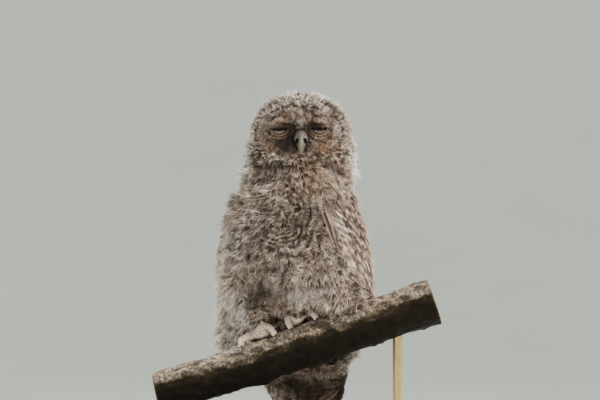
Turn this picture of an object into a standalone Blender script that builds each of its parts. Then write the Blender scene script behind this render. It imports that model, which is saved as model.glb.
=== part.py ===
"""Tawny owl fledgling (Strix aluco), life size, asleep on a cut length of branch over a plain display stand.

Metres, +Z up. The origin is on the stand's underside, straight below the middle of the perch, and the
bird's face looks along -Y. Left and right are the bird's own: its left side is at +X. The solids reach
out to the tips of the down.
"""

import math

import bmesh
import bpy
from mathutils import Matrix, Vector

MM = 0.001
GAP = 0.3 * MM  # clearance between pieces that meet
CUT_DEPTH = 8 * MM  # how far a cutter stands out of the surface that it opens

# Heights of the three thin cuts that part the bird
TAIL_CUT_Z = 92 * MM
NECK_CUT_Z = 252 * MM
CHIN_CUT_Z = 277 * MM
TAIL_TIP_Z = 39 * MM
CROWN_Z = 340 * MM

# The trunk is turned to the bird's right under a head that looks straight ahead
TRUNK_YAW = math.radians(-25)
YAW_FROM_Z = 226 * MM
YAW_TO_Z = 286 * MM
BODY_SQUARENESS = 2.15
BODY_SIDES = 30

# From tail tip to brow, in mm: height, middle x, middle y, half width, depth in front, depth behind
BODY_STATIONS = (
    (39, 12, 50, 24, 3.5, 3.5),
    (50, 12, 49, 31, 6, 6.5),
    (64, 11, 47, 37, 9, 9.5),
    (78, 8, 44, 43, 14, 15),
    (92, 2, 39, 53, 20, 24),
    (108, -9, 33, 69.5, 26, 35),
    (124, -7, 28, 76, 19, 44),
    (141, -2, 25, 76, 25, 49),
    (150, -1, 24, 75, 42, 51),
    (162, 0.5, 23, 73, 58, 54),
    (182, 1, 21, 71, 64, 57),
    (205, 0, 20, 67.5, 63, 58),
    (224, -1, 18, 63, 58, 57),
    (240, 0, 15, 57.5, 52, 54),
    (254, 3, 12, 53, 47, 52),
    (268, 4, 10, 52, 46, 51),
    (284, 5, 8, 50.5, 46, 50),
    (296, 5, 8, 46.8, 44, 48.5),
)
DOME_FROM_Z = 296 * MM  # above this the head closes as a dome
DOME_SQUARENESS = 2.08
CROWN_FLAT = 0.4 * MM
HEAD_SIDES, HEAD_RINGS = 36, 12
FACE_CROWDING = 0.28

# Face: each half of the disc is a shallow bowl round its eye
FACE_X = 5.4 * MM
EYE_APART = 40 * MM
EYE_Z = 304.6 * MM
EYE_R = 10.5 * MM
EYE_STEP = 3 * MM
EYELID = 1.9 * MM
BOWL_Z = 303 * MM
BOWL_R = 23 * MM
BOWL_DEPTH = 4.5 * MM
RIM_RISE = 1.8 * MM
RIM_WIDTH = 4 * MM
LID_R = 10.5 * MM
LID_RISE = 4 * MM
BROW_RIDGE_RISE = 3.5 * MM
BROW_RIDGE_WIDTH = 6 * MM
SLIT_WIDTH = 15 * MM
SLIT_HEIGHT = 2.6 * MM
SLIT_SAG = 1.2 * MM
BALL_TILT = math.radians(17)

# Bill: two nested quarter ellipses in side view, and the lower bill tucked under them
BILL_ROOT_Y = -31 * MM
BILL_TIP_Z = 280 * MM
CULMEN_REACH, CULMEN_RISE = 17 * MM, 23 * MM
TOMIUM_REACH, TOMIUM_RISE = 14 * MM, 9 * MM
BILL_HALF_WIDTH = 6 * MM
LOWER_BILL_REACH, LOWER_BILL_DROP = 12 * MM, 3.2 * MM
LOWER_BILL_HALF_WIDTH = 3.6 * MM
LOWER_BILL_SET_BACK = 1.2 * MM
BILL_TIP_HALF_WIDTH = 0.5 * MM
BILL_ROOT_LENGTH = 10 * MM  # how far the bill runs on into the head
BILL_TIP_LENGTH = 0.2 * MM

# Wings, as bands on the trunk's surface: height in mm, leading and trailing edge in degrees round from the breast
WING_STATIONS = (
    (101, 119, 125, 3),
    (111, 113, 131, 5),
    (128, 107, 138, 7),
    (142, 94, 143, 8.5),
    (154, 77, 147, 9.5),
    (172, 64, 150, 10),
    (201, 55, 150, 10),
    (224, 51, 144, 10),
    (238, 54, 132, 8),
    (246, 66, 112, 4),
)
WING_PROUD = 1.6 * MM
WING_CUT_DEPTH = 2.5 * MM
WING_CLEARANCE = 0.7 * MM
WING_ARM = 60 * MM  # from the trunk's middle to the wing
WING_RINGS, WING_COLUMNS = 9, 5

# Perch: a branch of about 39 mm, cut to 250 mm
PERCH_HALF_LENGTH = 125 * MM
PERCH_Z = 108 * MM
PERCH_SLOPE = 0.345
PERCH_BEND = 0.86  # 1/m, the lower end curves level
PERCH_BEND_X = -45 * MM
PERCH_R = 19.5 * MM
PERCH_TAPER = 0.012
PERCH_SIDES, PERCH_RINGS = 16, 16
KNOB_X, KNOB_RISE, KNOB_SPREAD = -30 * MM, 3.5 * MM, 6 * MM
LUMP_TWIST, LUMP_TWIST_LENGTH = 0.5 * MM, 17 * MM
LUMP_SWELL, LUMP_SWELL_LENGTH = 0.4 * MM, 9 * MM

# Feet: where each stands along the perch, and its toes' knuckles. Each toe is a list of
# (along the perch, forward over it, above its top) in mm from the pad: two in front, two behind
FOOT_X = {"right": -22 * MM, "left": 9 * MM}
PAD_R = 7.5 * MM
PAD_RISE = 5.5 * MM
TOE_R, TOE_TIP_R = 3.5 * MM, 2.7 * MM
CLAW_R, CLAW_TIP_R = 1.7 * MM, 0.35 * MM
TOE_JOINT_SWELL = 0.06
CLAW_TURN = math.radians(34)  # the whole hook
CLAW_LIFT = math.radians(19)  # how much of it the root looks up by
CLAW_LENGTH, CLAW_STEPS = 8.4 * MM, 6
CLAW_SET_IN = 1.2 * MM
TOE_SIDES, CLAW_SIDES, LEG_SIDES = 8, 6, 10
TOE_ARCHES = {
    "right": (
        ((2, 2, 4), (5, 7.5, 9.5), (8.5, 12.5, 6.5), (10.5, 16, -1.2)),
        ((-3, 1, 4), (-12, 5, 5), (-19.5, 11, 4), (-21, 16, -1.5)),
        ((3, -5, 4), (7, -12, 6), (10, -18, 1), (11, -21.5, -9)),
        ((-3, -5, 4), (-9, -12, 6), (-13, -18, 1), (-15, -21.5, -9)),
    ),
    "left": (
        ((-1.5, 2, 4), (-5.5, 7.5, 8.5), (-7.5, 12.5, 6), (-7, 16, -1.2)),
        ((3, 1, 4), (9.5, 5, 6.5), (15, 11, 5.5), (17.5, 16, -1.2)),
        ((3, -5, 4), (7, -12, 6), (10, -18, 1), (11, -21.5, -9)),
        ((-3, -5, 4), (-9, -12, 6), (-13, -18, 1), (-15, -21.5, -9)),
    ),
}

# Legs: hip in the trunk's own left and forward directions, then down to the ankle on the pad
HIP_SIDE, HIP_FORWARD, HIP_Z = 34 * MM, 26 * MM, 172 * MM
TRUNK_MIDDLE = Vector((0, 23 * MM, 0))
ANKLE_OFF_PAD = Vector((0, 3 * MM, 7 * MM))
LEG_RINGS = 7
LEG_RADII = ((0.0, 8), (0.15, 17), (0.4, 22.5), (0.65, 21), (0.85, 16), (1.0, 10))

# Stand
BASE_SIZE = Vector((236 * MM, 160 * MM, 16 * MM))
BASE_Y = 14 * MM
BASE_CORNER_R = 22 * MM
BASE_EDGE = 2.5 * MM
ROD_X = (-92 * MM, 92 * MM)
ROD_R = 4.5 * MM
COLLAR_R, COLLAR_H = 9.5 * MM, 4 * MM
COLLAR_STEP, COLLAR_CONE = 1 * MM, 2 * MM
ROD_SIDES = 12

DOWN = ("down", (0.50, 0.44, 0.38), 0.9, 0.0)
FEATHER = ("feather", (0.40, 0.31, 0.24), 0.8, 0.0)
TOE_SKIN = ("toe_down", (0.66, 0.56, 0.47), 0.8, 0.0)
BILL_HORN = ("bill_horn", (0.62, 0.61, 0.50), 0.4, 0.0)
CLAW_HORN = ("claw_horn", (0.12, 0.10, 0.09), 0.35, 0.0)
EYE = ("eye", (0.01, 0.008, 0.008), 0.08, 0.0)
BARK = ("bark", (0.17, 0.14, 0.10), 0.9, 0.0)
BASE_WOOD = ("stand_wood", (0.10, 0.055, 0.03), 0.4, 0.0)
ROD_METAL = ("stand_metal", (0.55, 0.45, 0.28), 0.35, 1.0)


# ---- small tools ----


def clear_scene():
    for obj in list(bpy.data.objects):
        bpy.data.objects.remove(obj)


def material(finish):
    name, colour, roughness, metallic = finish
    made = bpy.data.materials.get(name) or bpy.data.materials.new(name)
    made.use_nodes = True
    shader = made.node_tree.nodes["Principled BSDF"]
    shader.inputs["Base Color"].default_value = (*colour, 1)
    shader.inputs["Roughness"].default_value = roughness
    shader.inputs["Metallic"].default_value = metallic
    return made


def add_object(name, bm, finish=None):
    """A mesh object from bm. Without a finish it is a hidden helper that only cuts."""
    bmesh.ops.recalc_face_normals(bm, faces=bm.faces)
    mesh = bpy.data.meshes.new(name)
    bm.to_mesh(mesh)
    bm.free()
    obj = bpy.data.objects.new(name, mesh)
    bpy.context.scene.collection.objects.link(obj)
    if finish:
        mesh.materials.append(material(finish))
        mesh.shade_smooth()
    else:
        obj.hide_render = True
        obj.display_type = "WIRE"
    return obj


def loft(rings):
    """A closed skin through rings of equal length, capped at both ends. It is made of triangles, so that
    a piece and the cutter that clears it bend along the same lines."""
    bm = bmesh.new()
    verts = [[bm.verts.new(p) for p in ring] for ring in rings]
    for low, high in zip(verts, verts[1:]):
        for i in range(len(low)):
            j = (i + 1) % len(low)
            bm.faces.new((low[i], low[j], high[j]))
            bm.faces.new((low[i], high[j], high[i]))
    bm.faces.new(verts[0][::-1])
    bm.faces.new(verts[-1])
    return bm


def tube(points, radii, sides):
    """Rings of the given radii round a bent line, carried along it without twist."""
    points = [Vector(p) for p in points]
    side = None
    rings = []
    for i, (point, radius) in enumerate(zip(points, radii)):
        ahead = (points[min(i + 1, len(points) - 1)] - points[max(i - 1, 0)]).normalized()
        side = (side or ahead.orthogonal()).normalized()
        side = (side - ahead * side.dot(ahead)).normalized()
        up = ahead.cross(side)
        turns = [2 * math.pi * k / sides for k in range(sides)]
        rings.append([point + (side * math.cos(t) + up * math.sin(t)) * radius for t in turns])
    return rings


def subtract(obj, *cutters):
    for cutter in cutters:
        cut = obj.modifiers.new(cutter.name, "BOOLEAN")
        cut.operation = "DIFFERENCE"
        cut.object = cutter
    return obj


def between(stations, at):
    """The columns of a station table at one value of its first column, on smooth curves through the rows."""
    last = len(stations) - 2
    i = max(0, min(last, sum(row[0] <= at for row in stations) - 1))
    rows = [stations[max(0, min(last + 1, k))] for k in (i - 1, i, i + 1, i + 2)]
    before, low, high, after = rows
    span = high[0] - low[0]
    t = (at - low[0]) / span
    values = []
    for c in range(1, len(low)):
        slope_low = (high[c] - before[c]) / (high[0] - before[0]) * span
        slope_high = (after[c] - low[c]) / (after[0] - low[0]) * span
        values.append(
            (2 * t**3 - 3 * t**2 + 1) * low[c]
            + (t**3 - 2 * t**2 + t) * slope_low
            + (3 * t**2 - 2 * t**3) * high[c]
            + (t**3 - t**2) * slope_high
        )
    return values


def smooth_step(t):
    t = max(0.0, min(1.0, t))
    return t * t * (3 - 2 * t)


def smooth_line(knots, steps):
    """Points on a Catmull-Rom curve through the knots."""
    knots = [Vector(k) for k in knots]
    ends = [knots[0] * 2 - knots[1], *knots, knots[-1] * 2 - knots[-2]]
    line = []
    for a, b, c, d in zip(ends, ends[1:], ends[2:], ends[3:]):
        for k in range(steps):
            t = k / steps
            bend = (2 * a - 5 * b + 4 * c - d) * t * t + (3 * b - a - 3 * c + d) * t**3
            line.append(b + ((c - a) * t + bend) / 2)
    return [*line, knots[-1]]


def steps_between(low, high, count, grow=0.0):
    """count even steps from low to high, with only the two end values moved out by grow."""
    inner = [low + (high - low) * i / count for i in range(1, count)]
    return [low - grow, *inner, high + grow]


# ---- the bird's body, one form from tail tip to crown ----


def facing(z):
    """(bird's left, bird's front) at this height."""
    yaw = TRUNK_YAW * (1 - smooth_step((z - YAW_FROM_Z) / (YAW_TO_Z - YAW_FROM_Z)))
    return Vector((math.cos(yaw), math.sin(yaw), 0)), Vector((math.sin(yaw), -math.cos(yaw), 0))


def signed_power(x, power):
    return math.copysign(abs(x) ** power, x)


def body_point(z, angle, out=0.0):
    """A point on the bird's outline. The angle runs from the breast round to the bird's left."""
    shrink = 1.0
    if z > DOME_FROM_Z:
        rise = min(1.0, (z - DOME_FROM_Z) / (CROWN_Z - DOME_FROM_Z))
        shrink = (1 - rise**DOME_SQUARENESS) ** (1 / DOME_SQUARENESS)
    columns = between(BODY_STATIONS, min(z, DOME_FROM_Z) / MM)
    middle_x, middle_y, half_width, front, back = (c * MM for c in columns)
    left_way, front_way = facing(z)
    depth = front if math.cos(angle) > 0 else back
    power = 2 / BODY_SQUARENESS
    sideways = (half_width * shrink + out) * signed_power(math.sin(angle), power)
    forward = (depth * shrink + out) * signed_power(math.cos(angle), power)
    return Vector((middle_x, middle_y, z)) + left_way * sideways + front_way * forward


def face_relief(x, z):
    """How far the face stands forward of the plain head here: bowls, rims, lids and the ridge between."""
    across = abs(x - FACE_X) - EYE_APART / 2
    off_bowl = math.hypot(across, z - BOWL_Z)
    off_eye = math.hypot(across, z - EYE_Z)
    bowl = -BOWL_DEPTH * max(0.0, 1 - (off_bowl / BOWL_R) ** 2)
    rim = RIM_RISE * math.exp(-(((off_bowl - BOWL_R) / RIM_WIDTH) ** 2))
    lid = LID_RISE * max(0.0, 1 - (off_eye / LID_R) ** 2)
    ridge = BROW_RIDGE_RISE * math.exp(-(((x - FACE_X) / BROW_RIDGE_WIDTH) ** 2))
    on_face = smooth_step((CROWN_Z - 8 * MM - z) / (10 * MM)) * smooth_step((z - CHIN_CUT_Z) / (8 * MM))
    return (bowl + rim + lid + ridge) * on_face


def head_point(z, angle):
    point = body_point(z, angle)
    facing_out = smooth_step((math.cos(angle) - 0.1) / 0.5)
    point.y -= face_relief(point.x, z) * facing_out
    return point


def body_section(name, low, high, count, finish):
    turns = [2 * math.pi * i / BODY_SIDES for i in range(BODY_SIDES)]
    rings = [[body_point(z, a) for a in turns] for z in steps_between(low, high, count)]
    return add_object(name, loft(rings), finish)


def head():
    """The head, with its rings closer at the face and crowded towards the crown."""
    turns = [2 * math.pi * i / HEAD_SIDES for i in range(HEAD_SIDES)]
    turns = [a - FACE_CROWDING * math.sin(a) for a in turns]
    low, high = CHIN_CUT_Z + GAP / 2, CROWN_Z - CROWN_FLAT
    climbs = [math.sin(math.pi / 2 * i / HEAD_RINGS) ** 0.85 for i in range(HEAD_RINGS + 1)]
    rings = [[head_point(low + (high - low) * climb, a) for a in turns] for climb in climbs]
    return add_object("head", loft(rings), DOWN)


# ---- eyes and bill ----


def face_surface_y(x, z):
    """Where the face's surface lies at this place, from the front."""
    angles = [math.pi * k / 360 for k in range(-180, 181)]
    nearest = min(angles, key=lambda a: abs(head_point(z, a).x - x))
    return head_point(z, nearest).y


def eye_place(sign):
    """(eye's centre, level way outward through the lids): the eye lies square behind the face's surface."""
    x = FACE_X + sign * EYE_APART / 2
    spot = Vector((x, face_surface_y(x, EYE_Z), EYE_Z))
    beside = Vector((x + EYE_STEP, face_surface_y(x + EYE_STEP, EYE_Z), EYE_Z))
    outward = (beside - spot).cross(Vector((0, 0, 1))).normalized()
    return spot - outward * (EYELID + EYE_R), outward


def ball(centre, radius, across=12, up=8):
    """A sphere, tilted so that no facet lines up with the pieces that cut it."""
    bm = bmesh.new()
    tilt = Matrix.Rotation(BALL_TILT, 4, (2, 1, 0))
    placed = Matrix.Translation(centre) @ tilt
    bmesh.ops.create_uvsphere(bm, u_segments=across, v_segments=up, radius=radius, matrix=placed)
    return bm


def eyelid_slit(side, centre, outward):
    """Cutter for the nearly closed lids: a long lens, sagging at its middle, from the eye out to the face."""
    along = Vector((0, 0, 1)).cross(outward)
    outline = []
    halves = [(1, k) for k in range(9)] + [(-1, k) for k in range(7, 0, -1)]
    for edge, k in halves:
        u = k / 4 - 1
        lift = (edge * SLIT_HEIGHT / 2 - SLIT_SAG) * (1 - u * u)
        outline.append(centre + along * u * SLIT_WIDTH / 2 + Vector((0, 0, lift)))
    depths = (EYE_R * 0.6, EYE_R + CUT_DEPTH)
    return add_object(f"cut_slit_{side}", loft([[p + outward * d for p in outline] for d in depths]))


def bill_section(turn, upper, lower, half_width, sides=10):
    """One ring across the bill. turn is 90 degrees at the root and 0 at the tip."""
    top = Vector((BILL_ROOT_Y - upper[0] * math.cos(turn), BILL_TIP_Z + upper[1] * math.sin(turn)))
    low = Vector((BILL_ROOT_Y - lower[0] * math.cos(turn), BILL_TIP_Z + lower[1] * math.sin(turn)))
    middle, half = (top + low) / 2, (top - low) / 2
    ring = []
    for k in range(sides):
        a = 2 * math.pi * k / sides
        lift = half * math.sin(a)
        ring.append(Vector((FACE_X + half_width * math.cos(a), middle.x + lift.x, middle.y + lift.y)))
    return ring


def bill_rings(upper, lower, half_width, grow=0.0):
    turns = [math.radians(d) for d in (88, 74, 60, 46, 32, 20, 9, 0)]
    rings = []
    for turn in turns:
        share = math.sin(turn) ** 0.8
        width = BILL_TIP_HALF_WIDTH + (half_width - BILL_TIP_HALF_WIDTH) * share + grow
        wide = (upper[0] + grow, upper[1] + grow)
        under = (lower[0] - grow, lower[1] - grow)
        rings.append(bill_section(turn, wide, under, width))
    root = [p + Vector((0, BILL_ROOT_LENGTH + grow, 0)) for p in rings[0]]
    end = [p - Vector((0, 0, BILL_TIP_LENGTH + grow)) for p in rings[-1]]
    return [root, *rings, end]


def bill():
    """Upper and lower bill, and the cutter that seats them in the head."""
    culmen, tomium = (CULMEN_REACH, CULMEN_RISE), (TOMIUM_REACH, TOMIUM_RISE)
    top_of_lower = (TOMIUM_REACH - LOWER_BILL_SET_BACK, TOMIUM_RISE - 2 * GAP)
    foot_of_lower = (LOWER_BILL_REACH - LOWER_BILL_SET_BACK, TOMIUM_RISE - 2 * GAP - LOWER_BILL_DROP)
    upper = add_object("bill_upper", loft(bill_rings(culmen, tomium, BILL_HALF_WIDTH)), BILL_HORN)
    lower = add_object(
        "bill_lower", loft(bill_rings(top_of_lower, foot_of_lower, LOWER_BILL_HALF_WIDTH)), BILL_HORN
    )
    subtract(lower, add_object("cut_upper", loft(bill_rings(culmen, tomium, BILL_HALF_WIDTH, GAP))))
    seats = (
        add_object("cut_bill_upper", loft(bill_rings(culmen, tomium, BILL_HALF_WIDTH, GAP))),
        add_object("cut_bill_lower", loft(bill_rings(top_of_lower, foot_of_lower, LOWER_BILL_HALF_WIDTH, GAP))),
    )
    return upper, lower, seats


# ---- wings ----


def wing(sign, grow=0.0):
    """Rings of one wing, a thick leaf laid on the flank. Its cutter, with grow, stands out of the flank."""
    low, high = WING_STATIONS[0][0] * MM, WING_STATIONS[-1][0] * MM
    spread = grow / WING_ARM
    rings = []
    for z in steps_between(low, high, WING_RINGS, grow):
        lead, trail, thick = between(WING_STATIONS, max(low, min(high, z)) / MM)
        angles = steps_between(math.radians(lead) - spread, math.radians(trail) + spread, WING_COLUMNS)
        bulges = [math.sin(math.pi * (k + 1) / (WING_COLUMNS + 2)) for k in range(WING_COLUMNS + 1)]
        outer = [body_point(z, sign * a, WING_CUT_DEPTH if grow else WING_PROUD * bulge)
                 for a, bulge in zip(angles, bulges)]
        inner = [body_point(z, sign * a, -thick * MM * bulge**0.6 - grow) for a, bulge in zip(angles, bulges)]
        rings.append(outer + inner[::-1])
    return rings


# ---- perch, feet and legs ----


def perch_axis(x):
    return Vector((x, 0, PERCH_Z + PERCH_SLOPE * x + PERCH_BEND * max(0.0, PERCH_BEND_X - x) ** 2))


def perch_frame(x):
    """(along, up) of the perch at x; forward is always -Y."""
    along = (perch_axis(x + MM) - perch_axis(x - MM)).normalized()
    return along, Vector((0, 1, 0)).cross(along) * -1


def perch_radius(x, turn=0.0):
    """Bark radius. turn is 0 on top of the perch."""
    knob = KNOB_RISE * math.exp(-(((x - KNOB_X) / KNOB_SPREAD) ** 2)) * max(0.0, -math.cos(turn)) ** 6
    twist = LUMP_TWIST * math.sin(2 * turn + x / LUMP_TWIST_LENGTH)
    swell = LUMP_SWELL * math.sin(x / LUMP_SWELL_LENGTH)
    return PERCH_R + PERCH_TAPER * x + knob + twist + swell


def perch_rings(grow=0.0):
    rings = []
    for x in steps_between(-PERCH_HALF_LENGTH, PERCH_HALF_LENGTH, PERCH_RINGS, grow):
        along, up = perch_frame(x)
        turns = [2 * math.pi * k / PERCH_SIDES for k in range(PERCH_SIDES)]
        ring = []
        for t in turns:
            out = up * math.cos(t) + Vector((0, -1, 0)) * math.sin(t)
            ring.append(perch_axis(x) + out * (perch_radius(x, t) + grow))
        rings.append(ring)
    return rings


def on_perch(x, along_mm, forward_mm, above_mm):
    """The perch's axis there, and the way out from it to a point given from the perch's top at x."""
    spot = x + along_mm * MM * perch_frame(x)[0].x
    up = perch_frame(spot)[1]
    return perch_axis(spot), up * (perch_radius(spot) + above_mm * MM) - Vector((0, forward_mm * MM, 0))


def toe_path(side, arch):
    """The toe's middle line, pushed out where it would sink into the bark."""
    points = []
    knots = [Vector(k) for k in arch]
    for along_mm, forward_mm, above_mm in smooth_line(knots, 2):
        axis, off = on_perch(FOOT_X[side], along_mm, forward_mm, above_mm)
        clear = perch_radius(axis.x, math.atan2(forward_mm * MM, off.z)) + TOE_R + 3 * GAP
        points.append(axis + off.normalized() * max(off.length, clear))
    return points


def pad_centre(side):
    axis, off = on_perch(FOOT_X[side], 0, 0, PAD_RISE / MM)
    return axis + off


def toe_radii(count, grow=0.0):
    """Thick at the joints, thinner between them."""
    radii = []
    for i in range(count):
        t = i / (count - 1)
        joint = TOE_JOINT_SWELL * math.cos(6 * math.pi * t)
        radii.append((TOE_R + (TOE_TIP_R - TOE_R) * t) * (1 + joint) + grow)
    return radii


def claw_line(path):
    """A hooked claw that carries on from the toe's end and turns into the bark."""
    ahead = (path[-1] - path[-2]).normalized()
    inward = (perch_axis(path[-1].x) - path[-1]).normalized()
    hinge = ahead.cross(inward).normalized()
    spot = path[-1] - ahead * CLAW_SET_IN
    line = [spot]
    for k in range(CLAW_STEPS):
        turned = Matrix.Rotation(CLAW_TURN * k / (CLAW_STEPS - 1) - CLAW_LIFT, 3, hinge) @ ahead
        spot = spot + turned * CLAW_LENGTH / CLAW_STEPS
        axis = perch_axis(spot.x)
        out = spot - axis
        reach = perch_radius(spot.x, math.atan2(-out.y, out.z)) + CLAW_R + 2 * GAP
        if out.length < reach:
            spot = axis + out.normalized() * reach
        line.append(spot)
    return line


def claw_radii(count, grow=0.0):
    return [CLAW_R + (CLAW_TIP_R - CLAW_R) * (i / (count - 1)) ** 1.3 + grow for i in range(count)]


def toe_and_claw(side, number, arch, blocks):
    """One toe with its claw, and the cutters that clear the pieces round them."""
    path = toe_path(side, arch)
    name = f"{side}_{number}"
    toe = add_object(f"toe_{name}", loft(tube(path, toe_radii(len(path)), TOE_SIDES)), TOE_SKIN)
    subtract(toe, *blocks)
    cutter = add_object(f"cut_toe_{name}", loft(tube(path, toe_radii(len(path), GAP), TOE_SIDES)))
    line = claw_line(path)
    claw = add_object(f"claw_{name}", loft(tube(line, claw_radii(len(line)), CLAW_SIDES)), CLAW_HORN)
    subtract(claw, cutter, *blocks[:1])
    return cutter, add_object(f"cut_claw_{name}", loft(tube(line, claw_radii(len(line), GAP), CLAW_SIDES)))


def leg(side, sign, grow=0.0):
    """Rings of the feathered leg, egg shaped on a straight line from the hip to the ankle on the pad."""
    left_way, front_way = facing(0)
    hip = TRUNK_MIDDLE + left_way * sign * HIP_SIDE + front_way * HIP_FORWARD
    hip.z = HIP_Z
    ankle = pad_centre(side) + ANKLE_OFF_PAD
    shares = steps_between(0.0, 1.0, LEG_RINGS, grow / (ankle - hip).length)
    points = [hip + (ankle - hip) * share for share in shares]
    radii = [between(LEG_RADII, max(0.0, min(1.0, share)))[0] * MM + 1.5 * grow for share in shares]
    return tube(points, radii, LEG_SIDES)


# ---- stand ----


def stand_base():
    bm = bmesh.new()
    bmesh.ops.create_cube(bm, size=1)
    bmesh.ops.scale(bm, verts=bm.verts, vec=BASE_SIZE)
    bmesh.ops.translate(bm, verts=bm.verts, vec=(0, BASE_Y, BASE_SIZE.z / 2))
    upright = [e for e in bm.edges if abs(e.verts[0].co.z - e.verts[1].co.z) > BASE_SIZE.z / 2]
    bmesh.ops.bevel(bm, geom=upright, offset=BASE_CORNER_R, segments=5, affect="EDGES", profile=0.5)
    rim = [e for e in bm.edges if min(v.co.z for v in e.verts) > BASE_SIZE.z - MM]
    bmesh.ops.bevel(bm, geom=rim, offset=BASE_EDGE, segments=2, affect="EDGES", profile=0.5)
    return add_object("stand_base", bm, BASE_WOOD)


def stand_rod(side, x, perch_cutter):
    """A turned rod with a collar, saddled to the perch's underside."""
    foot = BASE_SIZE.z + GAP
    shoulder = foot + COLLAR_H + COLLAR_STEP
    profile = ((foot, COLLAR_R), (foot + COLLAR_H, COLLAR_R), (shoulder, ROD_R + COLLAR_STEP),
               (shoulder + COLLAR_CONE, ROD_R), (perch_axis(x).z, ROD_R))
    turns = [2 * math.pi * k / ROD_SIDES for k in range(ROD_SIDES)]
    rings = [[Vector((x + r * math.cos(t), r * math.sin(t), z)) for t in turns] for z, r in profile]
    rod = add_object(f"stand_rod_{side}", loft(rings), ROD_METAL)
    return subtract(rod, perch_cutter)


# ---- the whole ----


def main():
    clear_scene()
    add_object("perch", loft(perch_rings()), BARK)
    perch_cutter = add_object("cut_perch", loft(perch_rings(GAP)))

    tail = body_section("tail", TAIL_TIP_Z, TAIL_CUT_Z - GAP / 2, 5, FEATHER)
    trunk = body_section("trunk", TAIL_CUT_Z + GAP / 2, NECK_CUT_Z - GAP / 2, 11, DOWN)
    body_section("neck", NECK_CUT_Z + GAP / 2, CHIN_CUT_Z - GAP / 2, 3, DOWN)
    skull = head()
    subtract(tail, perch_cutter)

    for sign, side in ((-1, "right"), (1, "left")):
        centre, outward = eye_place(sign)
        add_object(f"eye_{side}", ball(centre, EYE_R), EYE)
        socket = add_object(f"cut_eye_{side}", ball(centre, EYE_R + GAP))
        subtract(skull, socket, eyelid_slit(side, centre, outward))
    subtract(skull, *bill()[2])

    opened = [perch_cutter]
    for sign, side in ((-1, "right"), (1, "left")):
        subtract(add_object(f"wing_{side}", loft(wing(sign)), FEATHER), perch_cutter)
        opened.append(add_object(f"cut_wing_{side}", loft(wing(sign, WING_CLEARANCE))))

        pad = add_object(f"foot_{side}", ball(pad_centre(side), PAD_R, 12, 7), TOE_SKIN)
        subtract(pad, perch_cutter)
        pad_cutter = add_object(f"cut_foot_{side}", ball(pad_centre(side), PAD_R + GAP, 12, 7))
        blocks = [perch_cutter, pad_cutter]
        for number, arch in enumerate(TOE_ARCHES[side], 1):
            blocks.extend(toe_and_claw(side, number, arch, list(blocks)))

        subtract(add_object(f"leg_{side}", loft(leg(side, sign)), DOWN), *blocks)
        opened.append(add_object(f"cut_leg_{side}", loft(leg(side, sign, GAP))))
        opened.extend(blocks[1:])
    subtract(trunk, *opened)

    stand_base()
    for side, x in zip(("right", "left"), ROD_X):
        stand_rod(side, x, perch_cutter)


main()
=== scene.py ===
"""Looks of a life-size tawny owl fledgling in its second down, asleep on a cut perch over a display stand.

Metres, +Z up, the face along -Y and the bird's left at +X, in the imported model's own frame. One skin stands
for all the solids of flesh. Down, plumes and vaned feathers are solid mesh that grows from it and lies as it
does on the bird.
"""

import math

import bmesh
import bpy
import numpy as np
from mathutils import Matrix, Vector
from mathutils.bvhtree import BVHTree
from mathutils.kdtree import KDTree

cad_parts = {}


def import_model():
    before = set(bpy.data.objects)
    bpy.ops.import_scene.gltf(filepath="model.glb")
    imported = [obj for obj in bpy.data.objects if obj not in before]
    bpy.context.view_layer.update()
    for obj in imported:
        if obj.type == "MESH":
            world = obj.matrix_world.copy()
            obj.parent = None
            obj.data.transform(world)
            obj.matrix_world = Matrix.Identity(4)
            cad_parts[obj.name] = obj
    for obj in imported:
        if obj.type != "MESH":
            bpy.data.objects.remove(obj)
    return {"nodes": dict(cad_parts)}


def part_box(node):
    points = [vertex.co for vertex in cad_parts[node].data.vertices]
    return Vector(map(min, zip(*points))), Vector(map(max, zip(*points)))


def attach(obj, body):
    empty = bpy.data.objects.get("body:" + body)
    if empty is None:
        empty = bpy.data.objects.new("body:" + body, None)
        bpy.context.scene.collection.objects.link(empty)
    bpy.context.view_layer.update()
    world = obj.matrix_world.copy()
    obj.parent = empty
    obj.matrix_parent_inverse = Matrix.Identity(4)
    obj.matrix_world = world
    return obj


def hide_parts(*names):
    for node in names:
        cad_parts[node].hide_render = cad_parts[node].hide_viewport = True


MM = 0.001
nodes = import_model()["nodes"]
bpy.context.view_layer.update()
dice = np.random.default_rng(11)


# ---- places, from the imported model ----


def middle(node):
    low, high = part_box(node)
    return (low + high) / 2


EYES = {side: middle(f"eye_{side}") for side in ("right", "left")}
EYE_R = (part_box("eye_left")[1].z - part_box("eye_left")[0].z) / 2
FACE_X = middle("bill_upper").x
BILL_LOW, BILL_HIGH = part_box("bill_upper")
CHIN_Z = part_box("head")[0].z
PADS = {side: middle(f"foot_{side}") for side in ("right", "left")}
TRUNK_YAW = math.radians(-25)
BREAST = np.array((-15, -44, 226)) * MM  # the whorl that the breast's bars run round

# ---- stage, light and camera ----

AIM = Vector((4.5 * MM, 0, 242 * MM))
CAMERA_DISTANCE = 2.6
CAMERA_LIFT = math.radians(-3)
SENSOR = 36.0
VIEW_WIDTH = 0.54
BOWL_RADIUS, BOWL_CORNER, BOWL_HEIGHT, BOWL_SIDES = 7.0, 3.0, 6.0, 96
# name, place, size in metres, power in watts, colour
SOFT_LIGHTS = (
    ("key", (1.5, -1.4, 2.5), 0.8, 128, "#fff5ea"),
    ("fill", (-1.9, -2.2, 0.9), 1.8, 12, "#f3f6ff"),
    ("rim_left", (-1.6, 1.3, 1.7), 1.0, 75, "#fbffff"),
    ("rim_right", (1.7, 1.0, 1.5), 1.0, 130, "#fffdf8"),
)


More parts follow.
